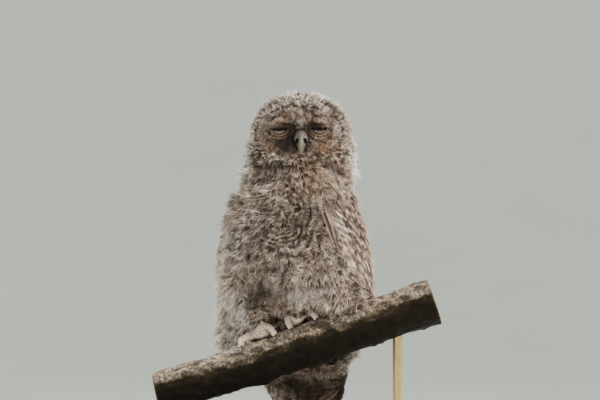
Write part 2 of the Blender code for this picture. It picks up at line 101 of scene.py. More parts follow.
def linear(colour):
    """sRGB hex to linear RGBA."""
    parts = [int(colour[i : i + 2], 16) / 255 for i in (1, 3, 5)]
    return (*[c / 12.92 if c <= 0.04045 else ((c + 0.055) / 1.055) ** 2.4 for c in parts], 1.0)


def add(tree, kind, inputs=None, stops=(), **settings):
    """Adds a node. inputs maps a socket to a value or another node's output, and stops fill a colour ramp."""
    made = tree.nodes.new(kind)
    for name, value in settings.items():
        setattr(made, name, value)
    for socket, value in (inputs or {}).items():
        if isinstance(value, bpy.types.NodeSocket):
            tree.links.new(value, made.inputs[socket])
        else:
            made.inputs[socket].default_value = value
    for i, (place, colour) in enumerate(stops):
        ramp = made.color_ramp.elements
        stop = ramp[i] if i < 2 else ramp.new(place)
        stop.position, stop.color = place, linear(colour)
    return made


def new_material(name, roughness, specular=0.5):
    made = bpy.data.materials.new(name)
    made.use_nodes = True
    shader = made.node_tree.nodes["Principled BSDF"]
    shader.inputs["Roughness"].default_value = roughness
    shader.inputs["Specular IOR Level"].default_value = specular
    return made, made.node_tree, shader


def ramp(tree, share, *stops):
    return add(tree, "ShaderNodeValToRGB", {"Fac": share}, stops=stops).outputs["Color"]


def linked(name, data):
    """A new object, in the scene."""
    made = bpy.data.objects.new(name, data)
    bpy.context.scene.collection.objects.link(made)
    return made


def aimed(name, data, place, way):
    """A camera or lamp at a place, its back turned to way."""
    holder = linked(name, data)
    holder.location = place
    holder.rotation_mode = "QUATERNION"
    holder.rotation_quaternion = way.to_track_quat("Z", "Y")
    return holder


def build_stage():
    """A round bowl of pale paper, wide enough to stay behind the bird in every view."""
    corner = np.linspace(0, np.pi / 2, 13)
    radii = [0.02, BOWL_RADIUS * 0.4, *(BOWL_RADIUS - BOWL_CORNER * (1 - np.sin(corner))), BOWL_RADIUS]
    heights = [0, 0, *(BOWL_CORNER * (1 - np.cos(corner))), BOWL_HEIGHT]
    turns = np.arange(BOWL_SIDES) / BOWL_SIDES * 2 * np.pi
    rings = np.outer(radii, np.cos(turns)), np.outer(radii, np.sin(turns)), np.repeat(heights, BOWL_SIDES)
    index = np.arange(len(radii) * BOWL_SIDES).reshape(-1, BOWL_SIDES)
    points = np.stack([v.ravel() for v in rings], -1)
    mesh = mesh_from_arrays("backdrop", points, [ring_quads(index), index[:1, ::-1]])
    paper, tree, shader = new_material("matte_backdrop_paper", 0.95)
    speck = add(tree, "ShaderNodeTexNoise", {"Scale": 40.0, "Detail": 2.0})
    tint = ramp(tree, speck.outputs["Fac"], (0.3, "#e4e7e3"), (0.7, "#e9ebe7"))
    tree.links.new(tint, shader.inputs["Base Color"])
    mesh.materials.append(paper)
    linked("backdrop", mesh)


def build_camera_and_light():
    camera = bpy.data.cameras.new("camera")
    camera.sensor_width = SENSOR
    camera.lens = SENSOR / VIEW_WIDTH * CAMERA_DISTANCE
    back = Vector((0, -math.cos(CAMERA_LIFT), math.sin(CAMERA_LIFT)))
    bpy.context.scene.camera = aimed("camera", camera, AIM + back * CAMERA_DISTANCE, back)
    world = bpy.data.worlds.new("studio_air")
    world.use_nodes = True
    world.node_tree.nodes["Background"].inputs["Color"].default_value = linear("#e9f0ec")
    world.node_tree.nodes["Background"].inputs["Strength"].default_value = 0.78
    bpy.context.scene.world = world
    for name, place, size, power, colour in SOFT_LIGHTS:
        lamp = bpy.data.lights.new(name, "AREA")
        lamp.shape, lamp.size, lamp.energy = "DISK", size, power
        lamp.color = linear(colour)[:3]
        aimed(name, lamp, place, Vector(place) - AIM)


# ---- meshes from arrays ----


def mesh_from_arrays(name, points, faces, attributes=None, uv=None):
    """A mesh from points and lists of face corners, with float attributes and OFBake coordinates by point."""
    mesh = bpy.data.meshes.new(name)
    mesh.vertices.add(len(points))
    mesh.vertices.foreach_set("co", np.ascontiguousarray(points, np.float32).ravel())
    sizes = np.concatenate([np.full(len(f), f.shape[1]) for f in faces])
    corners = np.concatenate([f.ravel() for f in faces]).astype(np.int32)
    mesh.loops.add(len(corners))
    mesh.loops.foreach_set("vertex_index", corners)
    mesh.polygons.add(len(sizes))
    mesh.polygons.foreach_set("loop_start", np.concatenate([[0], np.cumsum(sizes)[:-1]]).astype(np.int32))
    mesh.update(calc_edges=True)
    for label, values in (attributes or {}).items():
        layer = mesh.attributes.new(label, "FLOAT", "POINT")
        layer.data.foreach_set("value", np.ascontiguousarray(values, np.float32))
    if uv is not None:
        layer = mesh.uv_layers.new(name="OFBake")
        layer.data.foreach_set("uv", np.ascontiguousarray(uv[corners], np.float32).ravel())
    mesh.shade_smooth()
    return mesh


def ring_quads(index):
    """Quads between rings of points, index being by ring and by place round it."""
    turned = np.roll(index, -1, 1)
    return np.stack([turned[:-1], turned[1:], index[1:], index[:-1]], -1).reshape(-1, 4)


def read(elements, label="co", width=3, kind=np.float32):
    """A property of a mesh's elements as an array, a row to each."""
    values = np.zeros(len(elements) * width, kind)
    elements.foreach_get(label, values)
    return values.reshape(-1, width)


def solids(*names):
    """The named CAD solids in one bmesh."""
    bm = bmesh.new()
    for name in names:
        bm.from_mesh(nodes[name].data)
    return bm


def surface(points, faces):
    return BVHTree.FromPolygons([tuple(p) for p in points], [tuple(f) for f in faces])


def add_piece(name, mesh, material, slot, *replaced):
    """Adds a piece that rides on the one body and stands for the CAD nodes replaced."""
    piece = linked(name, mesh)
    mesh.materials.append(material)
    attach(piece, "root")
    if replaced:
        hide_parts(*replaced)


def unit(vectors):
    return vectors / np.maximum(np.linalg.norm(vectors, axis=-1, keepdims=True), 1e-9)


def dots(a, b):
    return (a * b).sum(-1, keepdims=True)


def smooth_step(t):
    t = np.clip(t, 0.0, 1.0)
    return t * t * (3 - 2 * t)


def bell(distance, width):
    return np.exp(-((distance / width) ** 2))


class Drift:
    """Smooth noise of about -1 to 1 over space, with bumps of the given size."""

    def __init__(self, size, seed, waves=10):
        own = np.random.default_rng(seed)
        self.ways = unit(own.normal(size=(waves, 3))) * 2 * np.pi / (size * own.uniform(1.4, 3.0, (waves, 1)))
        self.starts = own.uniform(0, 2 * np.pi, waves)

    def __call__(self, points):
        return np.sin(points @ self.ways.T + self.starts).sum(-1) / math.sqrt(len(self.starts) / 1.2)


# ---- the skin ----

FLESH_PARTS = ("head", "neck", "trunk", "tail", "wing", "leg")
FEATHERED = [n for n in nodes if n.split("_")[0] in FLESH_PARTS]
TOED = [n for n in nodes if n.split("_")[0] in ("foot", "toe")]
COAT_DEPTH = {"head": 4.6, "neck": 8, "trunk": 8.5, "tail": 3.2, "wing": 4.5, "leg": 6.5}  # mm


def fused(bm, voxel):
    """The closed shapes in bm as one mesh of even quads: (points, quads)."""
    bmesh.ops.remove_doubles(bm, verts=bm.verts, dist=0.01 * MM)
    mesh = bpy.data.meshes.new("draft")
    bm.to_mesh(mesh)
    bm.free()
    draft = linked("draft", mesh)
    remesh = draft.modifiers.new("even", "REMESH")
    remesh.mode, remesh.voxel_size = "VOXEL", voxel
    made = bpy.data.meshes.new_from_object(draft.evaluated_get(bpy.context.evaluated_depsgraph_get()))
    points = read(made.vertices).astype(float)
    quads = read(made.loops, "vertex_index", 1, np.int32).reshape(-1, 4)
    bpy.data.objects.remove(draft)
    bpy.data.meshes.remove(mesh)
    bpy.data.meshes.remove(made)
    return points, quads


def neighbours(faces):
    """Each edge of the faces once in either direction, as (from, to)."""
    pairs = np.concatenate([np.stack([f[:, k], f[:, (k + 1) % f.shape[1]]], 1) for f in faces
                            for k in range(f.shape[1])])
    return np.unique(np.concatenate([pairs, pairs[:, ::-1]]), axis=0)


def relaxed(values, pairs, rounds):
    """values by point, each drawn half way to the mean of its neighbours."""
    flat = values.reshape(len(values), -1).copy()
    near = np.maximum(np.bincount(pairs[:, 0], minlength=len(flat)), 1)
    for _ in range(rounds):
        for c in range(flat.shape[1]):
            mean = np.bincount(pairs[:, 0], flat[pairs[:, 1], c], len(flat)) / near
            flat[:, c] += (mean - flat[:, c]) * 0.5
    return flat.reshape(values.shape)


def point_normals(points, faces):
    total = np.zeros_like(points)
    for f in faces:
        way = np.cross(points[f[:, 2]] - points[f[:, 0]], points[f[:, -1]] - points[f[:, 1]])
        for k in range(f.shape[1]):
            for c in range(3):
                total[:, c] += np.bincount(f[:, k], way[:, c], len(points))
    return unit(total)


def nearest_parts(points, names):
    """For each point, the place in names of the CAD node that is nearest."""
    corners, triangles, owner = [], [], []
    for i, name in enumerate(names):
        base = len(corners)
        corners.extend(v.co[:] for v in nodes[name].data.vertices)
        for polygon in nodes[name].data.polygons:
            triangles.append([base + v for v in polygon.vertices])
            owner.append(i)
    tree = BVHTree.FromPolygons(corners, triangles)
    return np.array([owner[tree.find_nearest(p)[2]] for p in points])


def plug(bm, name, grow):
    """Adds a CAD piece to bm, grown about its middle, so that its socket closes."""
    first = len(bm.verts)
    bm.from_mesh(nodes[name].data)
    bm.verts.ensure_lookup_table()
    centre = middle(name)
    for vert in bm.verts[first:]:
        vert.co = centre + (vert.co - centre) * grow


def naked_body():
    """The flesh under the down: the solids as one form, drawn in by the depth of the coat."""
    bm = solids(*FEATHERED)
    for name in ("eye_left", "eye_right", "bill_upper", "bill_lower"):
        plug(bm, name, 1.06)
    points, quads = fused(bm, 1.6 * MM)
    pairs = neighbours([quads])
    points = relaxed(points, pairs, 10)
    owner = nearest_parts(points, FEATHERED)
    depth = np.array([COAT_DEPTH[FEATHERED[i].split("_")[0]] for i in owner]) * MM
    depth += (FACE_DEPTH - depth) * on_face(points)
    depth = relaxed(depth, pairs, 14)
    normals = relaxed(point_normals(points, [quads]), pairs, 4)
    return relaxed(points - unit(normals) * depth[:, None], pairs, 4), quads


FACE_DEPTH = 1.8 * MM
DISC_MIDDLE = np.array((FACE_X - 2.5 * MM, 0, 0.302))
DISC_HALF_WIDTH, DISC_HALF_HEIGHT = 39 * MM, 22.5 * MM


def disc_distance(points):
    """0 at the middle of the facial disc and 1 on its rim, measured across the face from the front."""
    across = (points[:, 0] - DISC_MIDDLE[0]) / DISC_HALF_WIDTH
    above = (points[:, 2] - DISC_MIDDLE[2]) / DISC_HALF_HEIGHT
    return np.hypot(across, above)


def on_face(points):
    """1 on the facial disc, falling to 0 past its rim and round the sides of the head."""
    brow = smooth_step((points[:, 2] - 0.31) / 0.014)
    inside = smooth_step((1.12 + 0.3 * brow - disc_distance(points)) / (0.3 + 0.75 * brow))
    return inside * smooth_step((-2 * MM - points[:, 1]) / (14 * MM))


TARSUS_BACK, TARSUS_IN = math.radians(24), math.radians(12)
TARSUS_RADII, TARSUS_LENGTH = (5.2 * MM, 6.5 * MM), 28 * MM


def skin_mesh():
    """The whole skin: the naked body with tarsi, pads and toes, its face modelled with lids."""
    points, quads = naked_body()
    mesh = mesh_from_arrays("body_draft", points, [quads])
    bm = solids()
    bm.from_mesh(mesh)
    bpy.data.meshes.remove(mesh)
    for name in TOED:
        bm.from_mesh(nodes[name].data)
    for side, pad in PADS.items():
        sign = 1 if side == "left" else -1
        lean = Matrix.Rotation(TARSUS_BACK, 4, "X") @ Matrix.Rotation(sign * TARSUS_IN, 4, "Y")
        place = Matrix.Translation(pad) @ lean @ Matrix.Translation((0, 0, TARSUS_LENGTH / 2 - 1 * MM))
        low, high = TARSUS_RADII
        bmesh.ops.create_cone(bm, cap_ends=True, segments=16, radius1=low, radius2=high, depth=TARSUS_LENGTH,
                              matrix=place)
    points, quads = fused(bm, 1.25 * MM)
    points = relaxed(points, neighbours([quads]), 3)
    return face_modelled(points, quads)


# Lids: a shell over the eyeball, parted by a narrow lens that sags at its middle
LID_THICK = 0.8 * MM
LID_REACH = 11.5 * MM
SLIT_HALF_WIDTH = 8.2 * MM
SLIT_HALF_HEIGHT = 1.7 * MM
SLIT_SAG = 0.7 * MM
SLIT_FLOOR = 2.8 * MM
FOLD_APART, FOLD_START = 3.0 * MM, 6.7 * MM


def eye_frame(side):
    """(centre, outward, along) of an eye: outward is level, and along runs to the bird's left."""
    sign = 1 if side == "left" else -1
    outward = Vector((sign * 0.26, -1, 0)).normalized()
    return EYES[side], outward, Vector((0, 0, 1)).cross(outward)


def on_lids(points):
    """For each eye: places along the slit, over it and out from the eye's centre."""
    for side in EYES:
        centre, outward, along = (np.array(v) for v in eye_frame(side))
        off = points - centre
        yield off @ along, off[:, 2], off @ outward


def folds(u, w):
    """(share, wave) of the lower lid's wrinkles: rings round the slit, the wave from -1 in a groove to 1."""
    ring = np.hypot(u, (w - 2 * MM) * 1.15)
    share = smooth_step((-1.2 * MM - w) / (1.5 * MM)) * smooth_step((14.5 * MM - ring) / (3 * MM))
    return share, np.cos(2 * np.pi * (ring - FOLD_START) / FOLD_APART)


def face_modelled(points, quads):
    """Finer quads round the eyes, drawn over the eyeballs as lids with their folds and the slit between."""
    mesh = mesh_from_arrays("skin", points, [quads])
    bm = bmesh.new()
    bm.from_mesh(mesh)
    for reach in (17 * MM, 13.5 * MM):
        near = []
        for side in EYES:
            front = EYES[side] + eye_frame(side)[1] * EYE_R
            near += [f for f in bm.faces if (f.calc_center_median() - front).length < reach]
        edges = list({e for f in near for e in f.edges})
        bmesh.ops.subdivide_edges(bm, edges=edges, cuts=1, use_grid_fill=True, smooth=0.2)
    bmesh.ops.triangulate(bm, faces=[f for f in bm.faces if len(f.verts) > 4])
    bm.to_mesh(mesh)
    bm.free()
    points = read(mesh.vertices).astype(float)
    for side, (u, w, d) in zip(EYES, on_lids(points)):
        outward = np.array(eye_frame(side)[1])
        front = d > 0
        radius = np.hypot(u, w)
        dome = np.sqrt(np.maximum((EYE_R + LID_THICK) ** 2 - radius**2, 0))
        hold = smooth_step((LID_REACH - radius) / (4 * MM)) * front
        target = np.maximum(d, dome)
        # folds of the closed lower lid, and one crease above the slit
        below, wave = folds(u, w)
        target = target + below * 0.4 * MM * wave
        crease = np.abs(w - (3.6 * MM - 2.6 * MM * (u / SLIT_HALF_WIDTH) ** 2))
        target = target - 0.35 * MM * bell(crease, 0.9 * MM) * (np.abs(u) < 9 * MM)
        # the slit: its floor lies inside the eyeball
        share = np.clip(1 - np.abs(u / SLIT_HALF_WIDTH) ** 3, 0, 1)
        lip = SLIT_HALF_HEIGHT * share
        off_line = np.abs(w + SLIT_SAG * share)
        open_here = smooth_step((lip - off_line) / (0.5 * MM) + 0.5) * (share > 0)
        rim = bell(off_line - lip - 0.5 * MM, 0.6 * MM) * (share > 0)
        target = target + 0.45 * MM * rim
        target = target * (1 - open_here) + (dome - SLIT_FLOOR) * open_here
        shift = (target - d) * np.maximum(hold, below * front)
        points += shift[:, None] * outward
    mesh.vertices.foreach_set("co", points.astype(np.float32).ravel())
    mesh.update()
    mesh.shade_smooth()
    return mesh


def unwrap(mesh):
    """OFBake: an unwrap of the skin's own shape."""
    for layer in list(mesh.uv_layers):
        mesh.uv_layers.remove(layer)
    mesh.uv_layers.new(name="OFBake")
    holder = linked("unwrapping", mesh)
    bpy.context.view_layer.objects.active = holder
    holder.select_set(True)
    bpy.ops.object.mode_set(mode="EDIT")
    bpy.ops.mesh.select_all(action="SELECT")
    bpy.ops.uv.smart_project(angle_limit=math.radians(66), island_margin=0.004)
    bpy.ops.object.mode_set(mode="OBJECT")
    bpy.data.objects.remove(holder)


class Skin:
    """The finished skin as arrays, for planting the coat."""

    def __init__(self, mesh):
        mesh.calc_loop_triangles()
        self.points = read(mesh.vertices).astype(float)
        self.triangles = read(mesh.loop_triangles, "vertices", 3, np.int32)
        corners = read(mesh.loop_triangles, "loops", 3, np.int32)
        self.uv = read(mesh.uv_layers["OFBake"].data, "uv", 2)[corners]
        self.pairs = neighbours([self.triangles])
        self.normals = relaxed(point_normals(self.points, [self.triangles]), self.pairs, 2)
        a, b, c = (self.points[self.triangles[:, k]] for k in range(3))
        self.areas = np.linalg.norm(np.cross(b - a, c - a), axis=1) / 2
        names = FEATHERED + TOED
        parts = [n.split("_")[0] for n in names]
        self.part = np.array([parts.index(p) for p in parts])[nearest_parts(self.points, names)]
        self.part_names = parts

    def is_part(self, *wanted):
        return np.isin(self.part, [i for i, p in enumerate(self.part_names) if p in wanted]).astype(float)

    def roots(self, weight, spacing, seed):
        """Evenly scattered places where weight, by point, is over a half: points, normals and OFBake."""
        own = np.random.default_rng(seed)
        wanted = weight[self.triangles].mean(1) > 0.5
        pool = np.flatnonzero(wanted)
        area = self.areas[pool]
        tries = int(area.sum() / spacing**2 * 6)
        drawn = np.searchsorted(np.cumsum(area), own.uniform(0, area.sum(), tries))
        chosen = pool[drawn.clip(0, len(pool) - 1)]
        split = own.uniform(size=(tries, 2))
        flip = split.sum(1) > 1
        split[flip] = 1 - split[flip]
        shares = np.stack([1 - split.sum(1), split[:, 0], split[:, 1]], 1)
        corner = self.triangles[chosen]
        points = (self.points[corner] * shares[:, :, None]).sum(1)
        cells = np.floor(points / (spacing * 1.18) + own.uniform(size=3)).astype(np.int64)
        keys = cells @ np.array((73856093, 19349663, 83492791))
        first = np.sort(np.unique(keys, return_index=True)[1])
        corner, shares = corner[first], shares[first]
        normals = unit((self.normals[corner] * shares[:, :, None]).sum(1))
        uv = (self.uv[chosen[first]] * shares[:, :, None]).sum(1)
        return points[first], normals, uv


# ---- how the plumage lies and is marked ----

FLOW_SOURCE = np.array((FACE_X, BILL_LOW.y + 12 * MM, 0.305))
FLOW_SINK = np.array((FACE_X - 4 * MM, 70 * MM, 0.215))
SWIRL = Drift(30 * MM, 3)
SWIRL_FINE = Drift(9 * MM, 4)
SWIRL_SIDE = Drift(12 * MM, 5)
PATCHY = Drift(22 * MM, 6)
SPECKLE = Drift(5 * MM, 7)
CLUMPS = Drift(11 * MM, 8)
FLECKS = Drift(3.2 * MM, 9)


def mirrored(points):
    """(distance from the face's middle line, height) of each place."""
    return np.abs(points[:, 0] - FACE_X), points[:, 2]


def face_lie(points):
    """Fine feathers ray out from the eyes, and from the bill between them."""
    side = np.where(points[:, :1] > FACE_X, np.array(EYES["left"])[None], np.array(EYES["right"])[None])
    from_eye = unit(points - side)
    from_bill = unit(points - np.array((FACE_X, BILL_HIGH.y, 0.3)))
    by_bill = bell(points[:, :1] - FACE_X, 11 * MM)
    return unit(from_eye * (1 - by_bill) + from_bill * by_bill)


def lie(points, normals, wander=1.0):
    """The way the plumage points here: away from the face over the head, and down the body."""
    out, away = points - FLOW_SOURCE, FLOW_SINK - points
    over_head = unit(out / dots(out, out) * 0.9 + away / dots(away, away))
    down = np.stack([points[:, 0] * 3.6, 0.12 + points[:, 1] * 1.2, -np.ones(len(points))], 1)
    high = smooth_step((points[:, 2:] - 0.262) / 0.022)
    face = on_face(points)[:, None]
    way = unit(down) * (1 - high) + over_head * high
    way = way * (1 - face) + face_lie(points) * face
    side = np.cross(normals, way)
    turn = 0.4 * SWIRL(points) + 0.5 * SWIRL_FINE(points) + 0.25 * SWIRL_SIDE(points)
    calm = (1 - 0.7 * face[:, 0]) * (1 - 0.45 * smooth_step(points[:, 1] / (20 * MM)))
    way = way + side * (turn * wander * calm)[:, None]
    return unit(way - normals * dots(way, normals))


def bars(points):
    """How many bars lie between a place and the start of the barring, growing by 1 a bar."""
    x, y, z = points.T
    whorl = np.hypot(x - BREAST[0], (z - BREAST[2]) * 0.95)
    use = smooth_step((66 * MM - whorl) / (24 * MM)) * smooth_step((5 * MM - y) / (12 * MM))
    wavy = 2.4 * MM * SWIRL(points) + 1.3 * MM * SWIRL_SIDE(points) + 1.1 * MM * SWIRL_FINE(points)
    crown = np.linalg.norm(points - FLOW_SOURCE, axis=1) * 1.25
    high = smooth_step((z - 0.272) / 0.02)
    level = -z * (1 - high) + crown * high
    return (whorl * use + level * (1 - use) + wavy) / (4.6 * MM + 0.8 * MM * use)


def segment_gap(across, z, start, end):
    """Distance in the face's plane from a short stroke, given as (across, height) ends."""
    start, end = np.array(start), np.array(end)
    run = end - start
    t = np.clip(((across - start[0]) * run[0] + (z - start[1]) * run[1]) / (run @ run), 0, 1)
    return np.hypot(across - start[0] - run[0] * t, z - start[1] - run[1] * t)


def near_lids(points, half_width, half_height, below, edge, run):
    """1 in an oval over each eye, a little below its middle, and 0 past its edge."""
    share = np.zeros(len(points))
    for u, w, d in on_lids(points):
        reach = np.hypot(u / (half_width * MM), (w + below * MM) / (half_height * MM))
        share = np.maximum(share, smooth_step((edge - reach) / run) * (d > 0))
    return share


def lid_share(points):
    """1 on the naked lids, 0 beyond them."""
    return near_lids(points, 9.5, 6.0, 4.6, 1.1, 0.5)


def slit_share(points):
    """1 in the slit between the lids and on its lips."""
    return near_lids(points, 9.4, 2.1, 0.5, 1.3, 0.3)


def blots(sideways, z, *rows):
    """Soft round patches added up, each row being strength, then middle, stretch, height and size in mm."""
    return sum(
        strength * bell(np.hypot((sideways - at * MM) / stretch, z - height * MM), size * MM)
        for strength, at, stretch, height, size in rows
    )


def step_from(values, start, run):
    """0 up to start and 1 a run past it, both in mm. A run under 0 falls instead."""
    return smooth_step((values - start * MM) / (run * MM))


def marks_and_painted_light(points):
    """The markings that skin and coat share, with the painted shade and light among them, as float attributes
    by point.
    """
    x, y, z = points.T
    across = mirrored(points)[0]
    aside = np.abs(x - FACE_X)
    face = on_face(points)
    front = step_from(y, -8, -14)
    disc = disc_distance(points)
    crown = step_from(z, 318, 12) * (1 - 0.75 * face)
    patch, speck, clump = PATCHY(points), SPECKLE(points), CLUMPS(points)
    flecks = smooth_step((FLECKS(points) - 0.1) / 0.5)

    # how strongly the bars show: patchy, best right of the breast's whorl, on the crown and the back
    off_x, off_z = x - BREAST[0], z - BREAST[2]
    whorl = np.hypot(off_x, off_z)
    beside = smooth_step(0.45 + (0.7 * off_x - 0.7 * off_z) / (50 * MM))
    band = 0.25 + 0.3 * patch + 0.9 * bell(whorl - 28 * MM, 14 * MM) * front * beside * (0.65 + 0.6 * clump)
    band = (band + 0.3 * step_from(y, 0, 30) + 0.75 * crown) * (1 - 0.85 * face)

    # dark: bristles between the eyes and round the bill, painted shade beside the bill and under the brows,
    # and the forehead's flecks
    dark = 0.95 * bell(np.hypot(across, (z - 0.296) / 1.2), 12.5 * MM) * step_from(z, 276, 6)
    # the second blot is painted shade, on the bird's right of the bill
    dark += blots(across, z, (0.85, 11, 1.3, 305.5, 4.2)) + blots(x, z, (0.95, -9, 1.6, 292.5, 8))
    # painted shade under each brow, just over the slit
    dark += blots(across, z - 0.3 * MM * speck, (0.6, 16, 3.2, 307.4, 1.5))
    dark *= 0.82 + 0.3 * speck
    dark += flecks * blots(across, z, (1.1, 0, 1.8, 319.5, 7))
    dark += flecks * 0.85 * bell(z - 0.3285, 9 * MM) * bell(across, 32 * MM)
    # round the disc
    dark += flecks * 0.5 * bell(disc - 1.14, 0.12) * step_from(across, 24, 6)
    dark += 0.7 * bell(disc - 1.09, 0.045) * (0.7 + 0.6 * speck) * step_from(across, 25, 5)
    # painted shade on the bird's right of the neck, and painted shade in the crease on its left
    dark += blots(x, z, (0.78, -22, 1.7, 264.5, 9)) * (0.8 + 0.4 * speck)
    fold = segment_gap(x, z, (30 * MM, 0.2725), (44 * MM, 0.263))
    dark += 0.85 * bell(fold, 3.0 * MM)
    # painted shade in the hollow between the legs and under the belly's edge, then the breast, darker, with
    # the arcs of its whorl
    dark += blots(x, z, (0.8, -34, 2.3, 157, 7), (0.5, -32, 3.4, 156, 3.5), (0.12, -20, 1, 139, 13),
                  (0.28, -1, 1, 218, 24))
    dark += flecks * blots(x, z, (0.45, -33, 1.2, 213, 9))
    # the arcs deepen the bars round the whorl: partly the bars, partly painted shade between rows of plumes
    arcs = smooth_step((-np.sin(2 * np.pi * bars(points)) - 0.1) / 0.6)
    arcs *= smooth_step((clump + 0.5 * speck + 0.5) / 0.7)
    dark += 0.6 * arcs * bell(whorl - 27 * MM, 12 * MM) * beside
    # the undertail, dark and further darkened as painted shade under the perch, the face's rim and specks
    # everywhere
    dark = dark * front + 0.95 * step_from(z, 100, -30) * step_from(y, 52, -14)
    dark += face * (0.45 * bell(disc - 0.8, 0.09) * (0.5 + 0.5 * speck) + 0.3 * flecks)
    dark += (0.34 * np.maximum(-speck, 0) + 0.24 * np.maximum(-clump, 0)) * (1 - 0.5 * face)
    under_disc = front * step_from(aside, 46, -10)
    # painted shade in a band under the chin, from its middle to the bird's right
    dark += 0.38 * bell(z - 0.2695 - 0.6 * MM * speck, 2.4 * MM) * under_disc * step_from(x, 16, -10)

    buff = blots(x, z, (1.2, 30, 1.5, 257, 14)) + 0.3 * face
    buff += blots(across, z, (0.9, 25, 1.1, 288.5, 8), (0.4, 22, 1.6, 313.5, 6), (0.5, 0, 2.4, 280, 8))
    buff = buff * front + 0.22 + 0.15 * patch

    pale = 0.85 * crown + 1.2 * step_from(z, 166, -30) * step_from(x, -34, -18)
    pale += front * blots(x, z, (0.35, 34, 1.3, 255, 13), (0.45, 13, 1.9, 155, 12), (0.2, -48, 1, 200, 24),
                          (0.2, -22, 1.5, 142, 7))
    pale += 0.32 * bell(z - 0.2775 - 0.6 * MM * speck, 3.0 * MM) * under_disc
    pale += 0.9 * bell(disc - 0.985, 0.045) * step_from(across, 24, 8) * front * step_from(z, 284, 6)
    brows = segment_gap(across, z, (5 * MM, 0.3145), (11 * MM, 0.3225))
    strokes = np.minimum(brows, segment_gap(across, z, (2.5 * MM, 0.3105), (0, 0.304)))
    pale += front * (0.95 * bell(strokes, 1.2 * MM) + blots(across, z, (0.24, 17, 2.2, 310.5, 2.2)))
    pale += 0.36 * np.maximum(speck, 0) + 0.2 * np.maximum(clump, 0)
    # painted rim light: the down along the outline is paler all round, where light from behind shines through
    # its tips
    pale += 0.3 * step_from(x, 48, 12) * step_from(z, 150, 30) + 0.5 * step_from(np.abs(x), 58, 8)
    pale += 0.5 * step_from(aside, 40, 8) * step_from(z, 250, 10)
    pale += 0.35 * step_from(aside, 38, 10) * step_from(z, 258, 12)

    lids, grooves, crests = lid_share(points), np.zeros(len(points)), np.zeros(len(points))
    for u, w, d in on_lids(points):
        share, wave = folds(u, w)
        grooves = np.maximum(grooves, share * np.clip(0.1 - wave, 0, 1) * (d > 0))
        crests = np.maximum(crests, share * np.clip(wave - 0.2, 0, 1) * (d > 0))
    # dark markings, with painted shade in the grooves of the lower lids' folds, and the slit's lips darkened,
    # partly as dark lid margins and partly as painted shade in the slit; the folds' crests get a painted
    # highlight in pale
    dark_and_painted_shade = np.clip(dark, 0, 1) * (1 - 0.45 * lids) + 0.85 * grooves * face + slit_share(points)
    return {
        "bar": bars(points),
        "band": np.clip(band, 0.05, 1) * (1 - lids),
        "dark": np.clip(dark_and_painted_shade, 0, 1),
        "buff": np.clip(buff, 0, 1),
        "rust": 0.7 * bell(fold - 2 * MM, 3.5 * MM) * front,
        "pale": np.clip(np.clip(pale, 0, 1) * (1 - 0.7 * lids) + 0.5 * crests * face, 0, 1),
        "bare": lids * 0.4,
        "toe": np.zeros(len(points)),
    }


# ---- feather meshes ----

TUFT_PATCH = 0.003  # the side of a plume's patch on the unwrap


def coat_of(left, right, tip, strips, along, across, chance, strand, uv):
    """A coat as plant() takes it: its tapered strips, and attributes by point.

    left and right are (…, steps, 3) with one tip each. A strip's faces are quads and a triangle at its tip.
    """
    steps = left.shape[-2] + 1
    per = 2 * (steps - 1) + 1
    pairs = np.stack([left, right], -2).reshape(*left.shape[:-2], per - 1, 3)
    points = np.concatenate([pairs, tip[..., None, :]], -2).reshape(-1, 3)
    base = (np.arange(len(points) // per) * per)[:, None]
    quads = np.concatenate([base + 2 * k + np.array((0, 1, 3, 2)) for k in range(steps - 2)])
    shape = (len(uv), strips, per)
    by_point = [np.broadcast_to(v, shape).ravel() for v in (along, across, chance, strand)]
    along, across, chance, strand = by_point
    return {
        "points": points,
        "quads": quads,
        "tips": base + np.array((per - 3, per - 2, per - 1)),
        "strips": strips,
        "per": per,
        "attributes": {"along": along, "chance": chance, "strand": strand},
        "across": across,
        "uv": np.repeat(uv, strips * per, 0) + TUFT_PATCH * np.stack([across * 0.5, along - 0.5], 1),
    }


